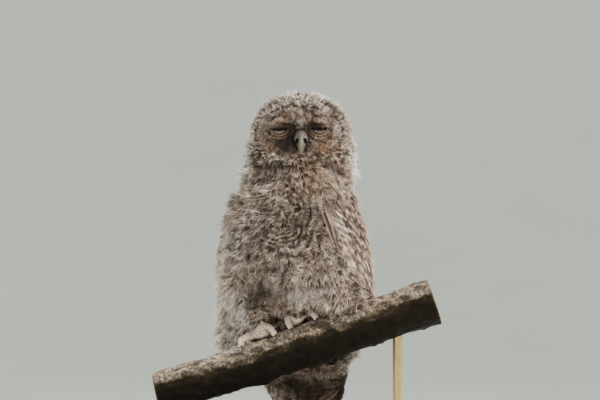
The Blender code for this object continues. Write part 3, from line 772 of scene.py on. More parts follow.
def tufts(roots, uv, ways, normals, length, rise, spread, strips, breadth, seed, steps=(0.0, 0.42, 0.76, 1.0),
          bend=65 * MM, curl=0.7, gather=0.75, scatter=0.42, arc=0.3, bow=0.0, chance=None):
    """Loose plumes, each a spray of thin tapering barbs that part and then gather to its tip.

    length, rise and spread are by root or for all, and so are bow, its sideways bend, and chance, its tone. A
    barb leaves the skin, rises and turns to lie along it.
    """
    own = np.random.default_rng(seed)
    count = len(roots)
    by_root = [np.broadcast_to(v, count)[:, None, None] for v in (bow, length, rise, spread)]
    bow, length, rise, spread = by_root
    chance = own.uniform(size=count) if chance is None else chance
    shape = (count, strips, 1)
    ways = unit(ways + np.cross(normals, ways) * own.normal(0, scatter, (count, 1)))
    place = (np.arange(strips) + 0.5) / strips * 2 - 1
    place = place[None, :, None] + own.uniform(-0.5, 0.5, shape) / strips * 2
    sides = np.cross(normals, ways)[:, None, None, :]
    ways, normals, roots = (v[:, None, None, :] for v in (ways, normals, roots))
    reach = length * (1 - 0.2 * place**2) * own.uniform(0.7, 1.08, shape)
    height = rise * own.uniform(0.35, 1.15, shape) * (1 - 0.25 * place**2)
    t = np.array(steps)[None, None, :]
    closing = gather * own.uniform(0.4, 1.0, (count, 1, 1))
    swell = 0.25 + 0.75 * np.sin(np.pi / 2 * np.minimum(t / 0.6, 1)) - closing * smooth_step((t - 0.4) / 0.6)
    fan = spread * (place * swell + 0.22 * own.normal(size=shape) * t**2)
    wave = curl * length * 0.16 * np.sin(own.uniform(0, 6.28, shape) + t * own.uniform(2.0, 4.5, shape)) * t
    wave = wave + (bow + arc * own.normal(size=(count, 1, 1))) * length * t**2
    lift = height * (1 - (1 - t) ** 2) - (reach * t) ** 2 / (2 * bend)
    lift = lift + rise * 0.22 * own.normal(size=(count, 1, 1)) * t**2
    path = roots + ways * (reach * t)[..., None] + sides * (fan + wave)[..., None] + normals * lift[..., None]
    heading = unit(np.gradient(path, axis=2))
    roll = own.normal(0, 0.5, shape)[..., None]
    flat = unit(np.cross(np.broadcast_to(normals, heading.shape), heading))
    edge = flat * np.cos(roll) + np.cross(heading, flat) * np.sin(roll)
    taper = np.interp(steps, (0, 0.25, 0.75, 1.0), (0.75, 1.0, 0.72, 0.0))
    half = breadth / 2 * taper[None, None, :, None] * own.uniform(0.7, 1.25, shape)[..., None]
    along = np.append(np.repeat(np.array(steps)[:-1], 2), 1.0)
    left, right = (path - edge * half)[:, :, :-1], (path + edge * half)[:, :, :-1]
    return coat_of(left, right, path[:, :, -1], strips, along, place, chance[:, None, None],
                   own.uniform(size=shape), uv)


def draped(starts, ways, lengths, stations):
    """Walks from each start over the skin: (places, normals, headings), each by feather and station."""
    step = (lengths / (stations - 1))[:, None]
    at, head = starts, ways
    places, normals, headings = [], [], []
    for _ in range(stations):
        found = [skin_tree.find_nearest(p)[:2] for p in at]
        at = np.array([f[0][:] for f in found])
        normal = np.array([f[1][:] for f in found])
        head = unit(head - normal * dots(head, normal))
        places.append(at)
        normals.append(normal)
        headings.append(head)
        at = at + head * step
    return (np.stack(v, 1) for v in (places, normals, headings))


def blend_along(values, t):
    """values by feather and station, read at shares t of the way along, t being (feather, …)."""
    last = values.shape[1] - 1
    place = np.clip(t, 0, 1) * last
    low = np.minimum(place.astype(int), last - 1)
    share = (place - low)[..., None]
    rows = np.arange(len(values)).reshape(-1, *([1] * (t.ndim - 1)))
    return values[rows, low] * (1 - share) + values[rows, low + 1] * share


VANE_OUTLINE = ((0, 0.12, 0.4, 0.75, 0.92, 1.0), (0.3, 0.75, 1.0, 0.95, 0.66, 0.3))
VANE_STATIONS = 9  # places along a shaft where it is laid on the skin
VANE_CAMBER = 0.09
QUILL_BARE = 0.05  # the share of a shaft with no barbs, at its root
BARB_STEPS = (0.0, 0.45, 0.86, 1.0)  # a barb's points, from the shaft to the vane's edge


def by_corner(values):
    """A value by barb and step as a value by point of its strip."""
    return np.concatenate([np.repeat(values[:, :, :-1], 2, 2), values[:, :, -1:]], 2)


def vanes(starts, ways, lengths, widths, lifts, seed, barbs, ragged):
    """Vaned feathers laid on the skin: barbs close together on either side of a shaft.

    lengths, widths and lifts are in mm, by feather or for all. lifts is the height over the skin at the root,
    and at the tip.
    """
    own = np.random.default_rng(seed)
    count = len(starts)
    starts, ways = np.array(starts), unit(np.array(ways))
    lengths, widths = (np.broadcast_to(np.array(v) * MM, count) for v in (lengths, widths))
    lifts = np.broadcast_to(np.array(lifts) * MM, (count, 2))
    uv = flesh.uv[[skin_tree.find_nearest(p)[2] for p in starts]].mean(1)
    places, normals, headings = draped(starts, ways, lengths, VANE_STATIONS)
    normals = unit(normals + np.roll(normals, 1, 1) * 0.5 + np.roll(normals, -1, 1) * 0.5)
    s = (QUILL_BARE + (1 - QUILL_BARE) * (np.arange(barbs) + 0.5) / barbs)[None, :, None]
    s = s + own.uniform(-0.3, 0.3, (count, barbs, 1)) / barbs
    side = np.array((-1.0, 1.0))[None, None, :]
    s, side = np.broadcast_arrays(s, side)
    s, side = (v.reshape(count, -1)[:, :, None] for v in (s, side))
    q = np.array(BARB_STEPS)[None, None, :]
    rough = 1 + ragged * own.uniform(-1, 0.6, s.shape)
    half_width = np.interp(s, *VANE_OUTLINE) * (widths / 2)[:, None, None] * rough
    lean = (0.2 + 0.1 * s) * q
    breadth = 0.62 / barbs
    long, wide = lengths[:, None, None, None], half_width[..., None]
    lift = (lifts[:, :1] + (lifts[:, 1:] - lifts[:, :1]) * s[..., 0])[:, :, None, None]
    corners = []
    for way in (-1, 1):
        t = s + lean + way * breadth * (1 - 0.35 * q)
        place = blend_along(places, t)
        normal = blend_along(normals, t)
        heading = blend_along(headings, t)
        over = np.maximum(t - 1, 0)[..., None] * long
        off = (side * q)[..., None] * wide
        bow = VANE_CAMBER * (off**2) / np.maximum(widths[:, None, None, None], 1e-6) * 2
        shingle = 0.1 * MM * -way
        across = unit(np.cross(normal, heading))
        corners.append(place + heading * over + across * off + normal * (lift + shingle - bow))
    left, right = corners
    tip = (left[:, :, -1] + right[:, :, -1]) / 2
    chance = own.uniform(size=(count, 1, 1))
    strand = own.uniform(size=(count, 2 * barbs, 1))
    along, across = by_corner(np.clip(s + lean, 0, 1)), by_corner(side * q)
    return coat_of(left[:, :, :-1], right[:, :, :-1], tip, 2 * barbs, along, across, chance, strand, uv)


def by_feather(coat, values):
    """A value by feather as a value by point."""
    return np.repeat(values, coat["strips"] * coat["per"])


def painted(coat, **values):
    """Sets attributes by point, in place of the markings of the skin beneath."""
    for label, value in values.items():
        coat["attributes"][label] = np.broadcast_to(value, len(coat["across"])).astype(float)


PIECE_TRIANGLES = 188_000  # the most in one piece of the coat


def plant(name, coat, slot="down"):
    """Adds a coat as pieces of whole plumes, from the feet up."""
    points, strips, per = coat["points"], coat["strips"], coat["per"]
    each = strips * per
    count = len(points) // each
    blocks = (per - 3) // 2
    pieces = max(1, math.ceil(count * strips * (blocks * 2 + 1) / PIECE_TRIANGLES))
    order = np.argsort(points[::each, 2], kind="stable")
    attributes = marks_and_painted_light(points)
    # bars line up from plume to plume on the breast and the crown
    on_breast = bell(np.linalg.norm(points - BREAST, axis=1), 42 * MM)
    aligned = np.maximum(on_breast, step_from(points[:, 2], 308, 12))
    attributes["bar"] += (coat["attributes"]["chance"] - 0.5) * (0.85 - 0.65 * aligned)
    attributes.update(coat["attributes"])
    for k, chosen in enumerate(np.array_split(order, pieces), 1):
        pick = (chosen[:, None] * each + np.arange(each)).ravel()
        new_index = np.full(count * each, -1, np.int64)
        new_index[pick] = np.arange(len(pick))
        barbs = (chosen[:, None] * strips + np.arange(strips)).ravel()
        quads = np.concatenate([coat["quads"][b * count * strips + barbs] for b in range(blocks)])
        picked = {label: values[pick] for label, values in attributes.items()}
        faces = [new_index[quads], new_index[coat["tips"][barbs]]]
        mesh = mesh_from_arrays(f"{name}_{k}", points[pick], faces, picked, coat["uv"][pick])
        add_piece(f"{name}_{k}", mesh, down_material, slot)


# ---- materials ----


def attribute(tree, label):
    return add(tree, "ShaderNodeAttribute", attribute_name=label).outputs["Fac"]


def maths(tree, operation, first, second=0.0, third=0.0):
    return add(tree, "ShaderNodeMath", {0: first, 1: second, 2: third}, operation=operation).outputs[0]


def mixed(tree, share, first, second, blend_type="MIX"):
    """A blend of two colours, each a socket or an sRGB hex."""
    first, second = (linear(c) if isinstance(c, str) else c for c in (first, second))
    inputs = {0: share, 6: first, 7: second}
    return add(tree, "ShaderNodeMix", inputs, data_type="RGBA", blend_type=blend_type).outputs[2]


def noise(tree, size, detail=2.0, roughness=0.5, stretch=(1.0, 1.0, 1.0)):
    """Noise with bumps of a real size in mm, drawn out where stretch is under 1."""
    place = add(tree, "ShaderNodeTexCoord").outputs["Object"]
    drawn = add(tree, "ShaderNodeMapping", {0: place, 3: stretch}).outputs[0]
    settings = {"Vector": drawn, "Scale": 1000 / size, "Detail": detail, "Roughness": roughness}
    return add(tree, "ShaderNodeTexNoise", settings).outputs["Fac"]


def markings_group():
    """Colours that skin and coat share: brown bars on grey-buff down, the tracts over them, and the painted
    shade and light that dark and pale carry.
    """
    group = bpy.data.node_groups.new("owl_markings_and_painted_light", "ShaderNodeTree")
    for label in ("Along", "Chance", "Strand"):
        group.interface.new_socket(label, in_out="INPUT", socket_type="NodeSocketFloat")
    group.interface.new_socket("Color", in_out="OUTPUT", socket_type="NodeSocketColor")
    inside = add(group, "NodeGroupInput")
    along, chance, strand = (inside.outputs[k] for k in range(3))

    # one dark bar to every turn of the phase
    wave = maths(group, "SINE", maths(group, "MULTIPLY", attribute(group, "bar"), 2 * math.pi))
    barred = ramp(group, maths(group, "MULTIPLY_ADD", wave, 0.5, 0.5),
                  (0.12, "#34291f"), (0.42, "#988a7f"), (0.8, "#dfd4cb"))
    down = mixed(group, attribute(group, "band"), "#b9aba0", barred)
    for label, strength, colour in (
        ("buff", 0.75, "#c9a386"),
        ("rust", 0.95, "#7b6252"),
        ("pale", 0.9, "#ece6df"),
        # dark carries painted shade as well as dark markings, and pale carries painted rim light and
        # highlights as well as pale markings
        ("dark", 0.9, "#2c241b"),
        ("bare", 0.85, "#a38676"),
        ("toe", 1.0, "#f0e0d4"),
    ):
        down = mixed(group, maths(group, "MULTIPLY", attribute(group, label), strength), down, colour)
    # plumes and barbs differ in tone; their roots are darkened as painted shade among the plumes, and their
    # tips are paler
    tone = maths(group, "MULTIPLY_ADD", chance, 1.1, 0.56)
    tone = maths(group, "MULTIPLY", tone, maths(group, "MULTIPLY_ADD", strand, 1.1, 0.54))
    grey = add(group, "ShaderNodeCombineColor", {0: tone, 1: tone, 2: tone}).outputs[0]
    root_shade_and_pale_tips = ramp(group, along, (0.0, "#2c2620"), (0.42, "#7b7269"), (0.78, "#f2eeea"), (1.0, "#ffffff"))
    coloured = mixed(group, 1.0, mixed(group, 1.0, down, grey, "MULTIPLY"), root_shade_and_pale_tips, "MULTIPLY")
    outside = add(group, "NodeGroupOutput")
    group.links.new(coloured, outside.inputs["Color"])
    return group


def feathery(name, group, share_through, fixed=None):
    """Matte keratin barbs that let some light through, so that the outline glows against the light."""
    made, tree, shader = new_material(name, 0.8, 0.25)
    inputs = [attribute(tree, label) if fixed is None else fixed for label in ("along", "chance", "strand")]
    colours = add(tree, "ShaderNodeGroup", node_tree=group)
    for socket, value in zip(colours.inputs, inputs):
        if fixed is None:
            tree.links.new(value, socket)
        else:
            socket.default_value = value
    tree.links.new(colours.outputs["Color"], shader.inputs["Base Color"])
    if share_through:
        through = add(tree, "ShaderNodeBsdfTranslucent", {"Color": colours.outputs["Color"]})
        blend = add(tree, "ShaderNodeMixShader",
                    {0: share_through, 1: shader.outputs["BSDF"], 2: through.outputs["BSDF"]})
        tree.links.new(blend.outputs[0], tree.nodes["Material Output"].inputs["Surface"])
    return made


def eye_material():
    """Wet cornea over a near-black iris: one sharp glint in the slit."""
    made, _, shader = new_material("wet_dark_eye", 0.12, 0.12)
    shader.inputs["Base Color"].default_value = linear("#050302")
    return made


def bill_material():
    """Waxy grey-pink cere over greenish ivory horn that yellows to its tip; its sides are darker with painted
    shade and its ridge lighter with a painted highlight, and the nostrils are painted black as shade in their
    pits.
    """
    made, tree, shader = new_material("waxy_bill_horn", 0.42)
    along, pit = attribute(tree, "along"), attribute(tree, "pit")
    # painted shade: the sides darker than the ridge, which gets a painted highlight
    sides = ramp(tree, along, (0.0, "#38312e"), (0.38, "#423b37"), (0.5, "#201f18"), (1.0, "#2c2818"))
    lit_ridge = ramp(tree, along, (0.0, "#4a423f"), (0.38, "#574f4a"), (0.52, "#67644f"), (0.8, "#6e6a48"),
                 (1.0, "#4a4527"))
    horn = mixed(tree, attribute(tree, "lit_ridge"), sides, lit_ridge)
    horn = mixed(tree, maths(tree, "MULTIPLY", noise(tree, 1.2), 0.5), horn, "#544d43")
    # painted shade: the nostril pits near black
    horn = mixed(tree, ramp(tree, pit, (0.0, "#000000"), (0.3, "#ffffff")), horn, "#040302")
    tree.links.new(horn, shader.inputs["Base Color"])
    sheen = ramp(tree, pit, (0.0, "#b0b0b0"), (0.3, "#000000"))
    tree.links.new(sheen, shader.inputs["Specular IOR Level"])
    return made


def claw_material():
    """Dark polished horn."""
    made, tree, shader = new_material("polished_claw_horn", 0.3)
    horn = ramp(tree, noise(tree, 2.0), (0.35, "#1b1613"), (0.7, "#39312b"))
    tree.links.new(horn, shader.inputs["Base Color"])
    return made


def bark_material():
    """Weathered bark: near-black brown below and flecked grey-brown with algae on its top, the change from
    one to the other being painted shade and light from above; its furrows are darkened as painted shade.
    """
    made, tree, shader = new_material("weathered_bark", 0.9, 0.12)
    relief, up, end = (attribute(tree, label) for label in ("relief", "up", "sawn"))
    fleck = noise(tree, 2.6, 4.0, 0.7)
    low = ramp(tree, noise(tree, 5.0, 4.0, 0.65), (0.35, "#060401"), (0.7, "#130f07"))
    side = ramp(tree, fleck, (0.36, "#141008"), (0.55, "#2a2416"), (0.7, "#544933"))
    top = ramp(tree, fleck, (0.34, "#40352a"), (0.45, "#7d6d5e"), (0.56, "#ac9b8c"), (0.7, "#e6dace"))
    mossy = ramp(tree, noise(tree, 9.0, 3.0), (0.45, "#000000"), (0.62, "#ffffff"))
    top = mixed(tree, maths(tree, "MULTIPLY", mossy, 0.15), top, "#77743a")
    # painted light and shade: darkest where the bark faces down, lighter on its sides and lightest on its top
    bark = mixed(tree, ramp(tree, up, (0.3, "#000000"), (0.6, "#ffffff")), low, side)
    bark = mixed(tree, ramp(tree, up, (0.5, "#000000"), (0.95, "#ffffff")), bark, top)
    # painted shade in the furrows between the bark's ridges
    bark = mixed(tree, maths(tree, "MULTIPLY", relief, 0.7), bark, "#15100a")
    rings = maths(tree, "MULTIPLY_ADD", maths(tree, "SINE", attribute(tree, "ring")), 0.5, 0.5)
    wood = ramp(tree, rings, (0.1, "#54442f"), (0.7, "#7a664b"))
    tree.links.new(mixed(tree, end, bark, wood), shader.inputs["Base Color"])
    return made


def stand_materials():
    """Oiled walnut with long grain under satin brass rods."""
    wood, tree, shader = new_material("oiled_walnut", 0.38)
    grain = noise(tree, 5.0, 6.0, 0.6, (0.06, 1.0, 1.0))
    wood_tone = ramp(tree, grain, (0.3, "#2f1d12"), (0.5, "#553722"), (0.72, "#7a5536"))
    tree.links.new(wood_tone, shader.inputs["Base Color"])
    metal, tree, shader = new_material("satin_brass", 0.32)
    brass_tone = ramp(tree, noise(tree, 3.0, 3.0), (0.3, "#a8925f"), (0.7, "#bda671"))
    tree.links.new(brass_tone, shader.inputs["Base Color"])
    shader.inputs["Metallic"].default_value = 1.0
    return wood, metal


# ---- building: stage and skin ----

build_stage()
build_camera_and_light()

marks = markings_group()
down_material = feathery("barbed_down", marks, 0.33)
skin = skin_mesh()
unwrap(skin)
flesh = Skin(skin)
toe_owner = flesh.is_part("foot", "toe")
skin_marks = marks_and_painted_light(flesh.points)
skin_marks["toe"] = relaxed(toe_owner, flesh.pairs, 2)
for label, values in skin_marks.items():
    skin.attributes.new(label, "FLOAT", "POINT").data.foreach_set("value", values.astype(np.float32))
# the skin takes the plumes' shading from half way along them, darkened as painted shade under the coat
add_piece("skin", skin, feathery("feathered_skin", marks, 0.0, 0.5), "down", *FEATHERED, *TOED)
skin_tree = surface(flesh.points, flesh.triangles)


# The perch as a line and a radius, so that no down passes through it
perch_points = np.array([v.co[:] for v in nodes["perch"].data.vertices])
slices = np.linspace(perch_points[:, 0].min() + 12 * MM, perch_points[:, 0].max() - 12 * MM, 12)
slice_z = np.array([perch_points[np.argsort(np.abs(perch_points[:, 0] - x))[:40], 2].mean() for x in slices])
slope = math.atan(np.polyfit(slices, slice_z, 1)[0])
PERCH_R, PERCH_END = 19.6 * MM, 125 * MM
PERCH_CLEAR = PERCH_R + 0.4 * MM


def off_perch(points):
    """(off, line): places across the perch from its middle line, which has the height line there."""
    line = np.interp(points[:, 0], slices, slice_z)
    return np.stack([points[:, 1], (points[:, 2] - line) * math.cos(slope)], 1), line


def out_of_perch(coat):
    """Down that would run into the perch is laid over its bark."""
    points = coat["points"]
    off, line = off_perch(points)
    gap = np.linalg.norm(off, axis=1)
    near = (gap < PERCH_CLEAR) & (np.abs(points[:, 0]) < PERCH_END)
    scale = PERCH_CLEAR / np.maximum(gap, 1e-4)
    points[near, 1] = (off[:, 0] * scale)[near]
    points[near, 2] = (line + off[:, 1] * scale / math.cos(slope))[near]
    return coat


# ---- building: the coat ----

# by part of the body, in mm: length of a plume, its rise over the skin and its spread
PLUMES = {
    "head": (7.6, 4.8, 2.1), "neck": (13.0, 8.4, 3.2), "trunk": (13.5, 9.0, 3.2), "wing": (12, 6.2, 3.4),
    "tail": (14, 3.8, 3.6), "leg": (13, 6.6, 3.8), "foot": (3, 0.9, 1), "toe": (3, 0.9, 1),
}
sizes = relaxed(np.array([PLUMES[p] for p in flesh.part_names])[flesh.part] * MM, flesh.pairs, 12)
face_share = on_face(flesh.points)
wing_share = relaxed(flesh.is_part("wing"), flesh.pairs, 6)
toe_tree = surface(flesh.points, flesh.triangles[toe_owner[flesh.triangles].mean(1) > 0.5])


def off_the_toes(roots, ways, length):
    """Shortens plumes whose tips would hide the toes or hang over the perch."""
    tips = roots + ways * length[:, None] * 0.9
    above = roots[:, 2] > off_perch(roots)[1]
    perch_gap = np.hypot(*off_perch(tips)[0].T) - PERCH_R
    length = length * (1 - 0.55 * above * step_from(perch_gap, 5, -7))
    low = np.flatnonzero((roots[:, 2] < 175 * MM) & (roots[:, 2] > 90 * MM))
    share = np.ones(len(roots))
    gaps = np.array([toe_tree.find_nearest(p)[3] for p in tips[low]])
    share[low] = 0.25 + 0.75 * step_from(gaps, 0, 10)
    return length * share


TRUNK_REACH = 150 * MM  # from the trunk's middle to clear of it
TRUNK_LEFT = np.array((math.cos(TRUNK_YAW), math.sin(TRUNK_YAW), 0))
TRUNK_FRONT = np.array((math.sin(TRUNK_YAW), -math.cos(TRUNK_YAW), 0))


def trunk_middle(z):
    """The trunk's middle at this height, in metres."""
    middle_y = np.interp(z, (0.05, 0.092, 0.15, 0.205, 0.254), (0.049, 0.039, 0.024, 0.02, 0.012))
    middle_x = np.interp(z, (0.05, 0.092, 0.15, 0.254), (0.012, 0.002, -0.001, 0.003))
    return np.stack([middle_x, middle_y, np.asarray(z, float)], -1)


def trunk_spot(z, degrees):
    """The skin at this height in mm, the angle running from the breast round to the bird's left."""
    angle = math.radians(degrees)
    outward = TRUNK_LEFT * math.sin(angle) + TRUNK_FRONT * math.cos(angle)
    centre = trunk_middle(z * MM)
    hit = skin_tree.ray_cast(Vector(centre + outward * TRUNK_REACH), Vector(-outward), TRUNK_REACH)[0]
    return np.array(hit[:]) if hit else centre


# the folded wing's front and rear edges, in degrees round the trunk at these heights in mm
WING_HEIGHTS = (101, 111, 128, 142, 154, 172, 201, 224, 238, 246)
WING_LEAD = WING_HEIGHTS, (119, 113, 107, 94, 77, 64, 55, 51, 54, 66)
WING_TRAIL = WING_HEIGHTS, (125, 131, 138, 143, 147, 150, 150, 144, 132, 112)


def past_lead(points):
    """Degrees round the trunk past the wing's leading edge, and height in mm."""
    off = points - trunk_middle(points[:, 2])
    angle = np.degrees(np.abs(np.arctan2(off @ TRUNK_LEFT, off @ TRUNK_FRONT)))
    return angle - np.interp(points[:, 2] / MM, *WING_LEAD), points[:, 2] / MM


def strip_share(points):
    """1 along the narrow feathers that edge the left wing, where the down stands clear of them."""
    past, z = past_lead(points)
    edge = (points[:, 0] > 0) * bell(past + 0.5, 5.5)
    return edge * smooth_step((251 - z) / 6) * smooth_step((z - 196) / 8)


def lap(z, sign):
    """Degrees by which the flank's down laps over the folded wing: low on it, and all down the right one."""
    return 9 * smooth_step((200 - z) / 14) + 20 * (sign < 0)


LOCK_APART = 3.8 * MM
lock_middles, lock_normals, _ = flesh.roots(np.ones(len(flesh.points)), LOCK_APART, 11)
lock_tree = KDTree(len(lock_middles))
for place, lock_middle in enumerate(lock_middles):
    lock_tree.insert(lock_middle, place)
lock_tree.balance()
lock_dice = np.random.default_rng(12)
lock_ways = lie(lock_middles, lock_normals)
lock_turns = lock_dice.normal(0, 0.42, (len(lock_ways), 1))
lock_ways = unit(lock_ways + np.cross(lock_normals, lock_ways) * lock_turns)
lock_bows, lock_tones = lock_dice.normal(0, 0.26, len(lock_ways)), lock_dice.uniform(size=len(lock_ways))
lock_lifts = lock_dice.uniform(0.7, 1.25, len(lock_ways))


def drawn_to_locks(roots, normals, length, share):
    """Turns plumes from their lie towards the tip of the nearest lock of down: (ways, lock by root)."""
    lock = np.array([lock_tree.find(p)[1] for p in roots])
    towards = lock_middles[lock] + lock_ways[lock] * length[:, None] - roots
    towards = towards - normals * dots(towards, normals)
    return unit(lie(roots, normals) * (1 - share) + unit(towards) * share), lock


def body_coat(name, weight, spacing, seed, strips, breadth, reach, lift=1.0, wide=1.0, tones=(0.0, 1.0),
              locked=0.75, **more):
    """Down or wisps over the body, in locks. tones are where along a plume's shading its root and tip lie."""
    roots, normals, uv = flesh.roots(weight, spacing * MM, seed)
    # the plumes' sizes at the face of skin nearest to each root
    faces = [skin_tree.find_nearest(p)[2] for p in roots]
    length, rise, spread = sizes[flesh.triangles].mean(1)[faces].T
    ways, lock = drawn_to_locks(roots, normals, length, locked)
    own = np.random.default_rng(seed + 500)
    rise = rise * (1 - locked + locked * lock_lifts[lock])
    chance = lock_tones[lock] * 0.45 + own.uniform(0, 0.55, len(roots))
    length = off_the_toes(roots, ways, length * own.uniform(0.8, 1.15, len(roots)) * reach)
    rise = rise * own.uniform(0.72, 1.08, len(roots)) * lift
    # shorter and closer round the disc, on the brow, by the wing's edge, on the shoulder and beside the tail
    x, y, z = roots.T
    before = step_from(y, -4, -8)
    for share, shorter, closer in (
        (bell(disc_distance(roots) - 1.12, 0.14) * before, 0.45, 0.35),
        (bell(disc_distance(roots) - 1.25, 0.3) * before * step_from(z, 312, 8), 0.35, 0.5),
        (strip_share(roots), 0.4, 0.5),
        (bell(z - 0.251, 15 * MM) * step_from(x, 30, 16), 0.35, 0.5),
        (step_from(z, 112, -10) * step_from(np.abs(x), 26, 10), 0.45, 0.5),
    ):
        length, rise = length * (1 - shorter * share), rise * (1 - closer * share)
    coat = tufts(roots, uv, ways, normals, length, rise, spread * wide, strips, breadth * MM, seed + 1,
                 bow=lock_bows[lock] * locked, chance=chance, **more)
    coat["attributes"]["along"] = tones[0] + (tones[1] - tones[0]) * coat["attributes"]["along"]
    plant(name, out_of_perch(coat))


bill_tree = surface([v.co for v in nodes["bill_upper"].data.vertices],
                    [f.vertices for f in nodes["bill_upper"].data.polygons])


def off_the_bill(roots):
    """True where a root is clear of the horn and not inside it."""
    found = [bill_tree.find_nearest(p) for p in roots]
    gap = np.array([f[3] for f in found])
    outside = dots(roots - np.array([f[0][:] for f in found]), np.array([f[1][:] for f in found]))[:, 0] > 0
    return outside & (gap > 1.0 * MM)


def chosen_roots(weight, spacing, seed, wanted):
    """The scattered roots that wanted(roots, normals) picks: (roots, normals, OFBake)."""
    found = flesh.roots(weight, spacing * MM, seed)
    keep = wanted(*found[:2])
    return [v[keep] for v in found]


furred = (1 - face_share) * (1 - toe_owner)
past, height = past_lead(flesh.points)
open_wing = wing_share * smooth_step((past - lap(height, flesh.points[:, 0]) + 2) / 4)
body_coat("down", furred * (1 - open_wing), 2.1, 21, 12, 0.37, 0.9, tones=(0.0, 0.82), scatter=0.2, arc=0.15)
body_coat("wing_down", furred * open_wing, 3.2, 25, 8, 0.4, 0.8, 0.3)
body_coat("wisps", furred * (1 - 0.8 * open_wing), 2.3, 27, 5, 0.44, 0.6, 1.3, 0.3, (0.42, 1.0), locked=0.3,
          curl=1.8, gather=1.0, scatter=0.45)

SHORT = (0.0, 0.5, 1.0)  # short plumes bend at one place
roots, normals, uv = chosen_roots(face_share * (1 - toe_owner), 0.98, 31,
                                  lambda roots, _: (slit_share(roots) < 0.12) & off_the_bill(roots))
length = 4.6 * MM * (1 - 0.68 * lid_share(roots)) * np.random.default_rng(32).uniform(0.8, 1.2, len(roots))
ways = lie(roots, normals, 0.4)
coat = tufts(roots, uv, ways, normals, length, length * 0.28, length * 0.24, 6, 0.3 * MM, 33, SHORT,
             bend=60 * MM, curl=0.4, scatter=0.25, arc=0.15)
plant("disc_down", coat)


def by_the_slit(roots, _):
    """The lids, but for the slit and its lips."""
    near = [(np.hypot(u / 1.15, w) < 9.5 * MM) & (d > 0) for u, w, d in on_lids(roots)]
    return np.any(near, 0) & (slit_share(roots) < 0.3)


# the lids' own down is as short as velvet
roots, normals, uv = chosen_roots(face_share, 0.62, 37, by_the_slit)
ways = lie(roots, normals, 0.4)
coat = tufts(roots, uv, ways, normals, 1.5 * MM, 0.5 * MM, 0.45 * MM, 4, 0.17 * MM, 38, SHORT, bend=20 * MM,
             scatter=0.3)
coat["attributes"]["along"] = 0.45 + 0.4 * coat["attributes"]["along"]
plant("lid_down", coat)


def round_the_bill(roots, _):
    across, z = mirrored(roots)
    near = (np.hypot(across - 6 * MM, (z - 0.297) * 0.8) < 9 * MM) & (across < 17 * MM)
    return near & off_the_bill(roots)


# bristles stand forward round the bill
roots, normals, uv = chosen_roots(face_share, 2.2, 35, round_the_bill)
ways = unit(face_lie(roots) + np.array((0, -0.75, -0.35)))
coat = tufts(roots, uv, ways, normals, 8.5 * MM, 2.6 * MM, 1.6 * MM, 4, 0.3 * MM, 36, curl=0.7, gather=0.0,
             scatter=0.3)
plant("rictal_bristles", coat)

# velvet down on the toes
roots, normals, uv = chosen_roots((toe_owner > 0.2) * 1.0, 0.75, 41, lambda _, normals: normals[:, 2] > -0.5)
ways = np.broadcast_to((0.0, -1.0, -0.6), roots.shape)
ways = unit(ways - normals * dots(ways, normals))
coat = tufts(roots, uv, ways, normals, 1.7 * MM, 0.4 * MM, 0.45 * MM, 3, 0.22 * MM, 42, SHORT, bend=9 * MM)
painted(coat, toe=1.0, along=0.6 + 0.4 * coat["attributes"]["along"],
        chance=0.45 + 0.35 * coat["attributes"]["chance"])
plant("toe_down", coat)

# ---- building: vaned feathers ----


# rows from the shoulder to the quills: height, length and width in mm. Each row slants down to its rear
ROW_SLANT, ROW_SLANT_OVER = 15, 30  # mm down, over so many degrees
WING_TOP_Z, TRAIL_TOP_Z = 245, 236
WING_ROWS = (
    (258, 12, 7.5), (251, 12, 7.5), (244, 12, 7.5), (236, 13, 8), (228, 15, 8.5),
    (219, 17, 9), (209, 19, 9.5), (199, 22, 10), (189, 26, 10.5), (178, 62, 11.5),
)
QUILL_ROW = 9
WING_TIP_Z, WING_TIP_ANGLE = 96, 122
WING_INSET = 3  # degrees
BESIDE = 0.72  # a feather's share of its width that its neighbour leaves bare
MM_TO_A_DEGREE = 62 / 57.3  # round the trunk at the wings
# the narrow pair in front of the left wing: row, degrees behind the first, length in mm
STRIP_ROWS = ((-1, 0, 43), (-2, 2.2, 40))
STRIP_TOP, STRIP_TOWARDS, STRIP_WIDTH = (246.5, 50.5), (224, 53), 4.2  # (height in mm, degrees), and mm
WHITE_APART = 6.2  # mm between rows of white spots
BAR_APART = 9  # mm between bars

starts, aims, lengths, widths, rows = [], [], [], [], []
for sign in (-1, 1):
    for row, (z, long, wide) in enumerate(WING_ROWS):
        lead = np.interp(z, *WING_LEAD) + WING_INSET + lap(z, sign)
        trail = np.interp(min(z, TRAIL_TOP_Z), *WING_TRAIL) + WING_INSET
        count = max(3, int((trail - lead) * MM_TO_A_DEGREE / (wide * BESIDE)))
        for k in range(count):
            angle = lead + (trail - lead) * (k + 0.5 * (row % 2)) / count + dice.uniform(-1.5, 1.5)
            height = z + dice.uniform(-1.0, 1.0) - ROW_SLANT * smooth_step((angle - lead) / ROW_SLANT_OVER)
            if height > WING_TOP_Z:
                continue
            turn = angle + (WING_TIP_ANGLE - angle) * min(1.0, long / (height - WING_TIP_Z)) * 0.5
            starts.append(trunk_spot(height, angle * sign))
            aims.append(trunk_spot(height - long * 0.5, turn * sign) - starts[-1])
            lengths.append(long * dice.uniform(0.92, 1.08))
            widths.append(wide)
            rows.append((row, sign))
for row, shift, long in STRIP_ROWS:
    starts.append(trunk_spot(STRIP_TOP[0], STRIP_TOP[1] + shift))
    aims.append(trunk_spot(STRIP_TOWARDS[0], STRIP_TOWARDS[1] + shift) - starts[-1])
    lengths.append(long)
    widths.append(STRIP_WIDTH)
    rows.append((row, 1))
starts, (row, sign) = np.array(starts), np.array(rows).T
lifts = np.tile((1.2, 4.6), (len(starts), 1))
lifts[row < 0] = (6.6, 7.2)
lifts[row == QUILL_ROW] = (0.8, 3.6)
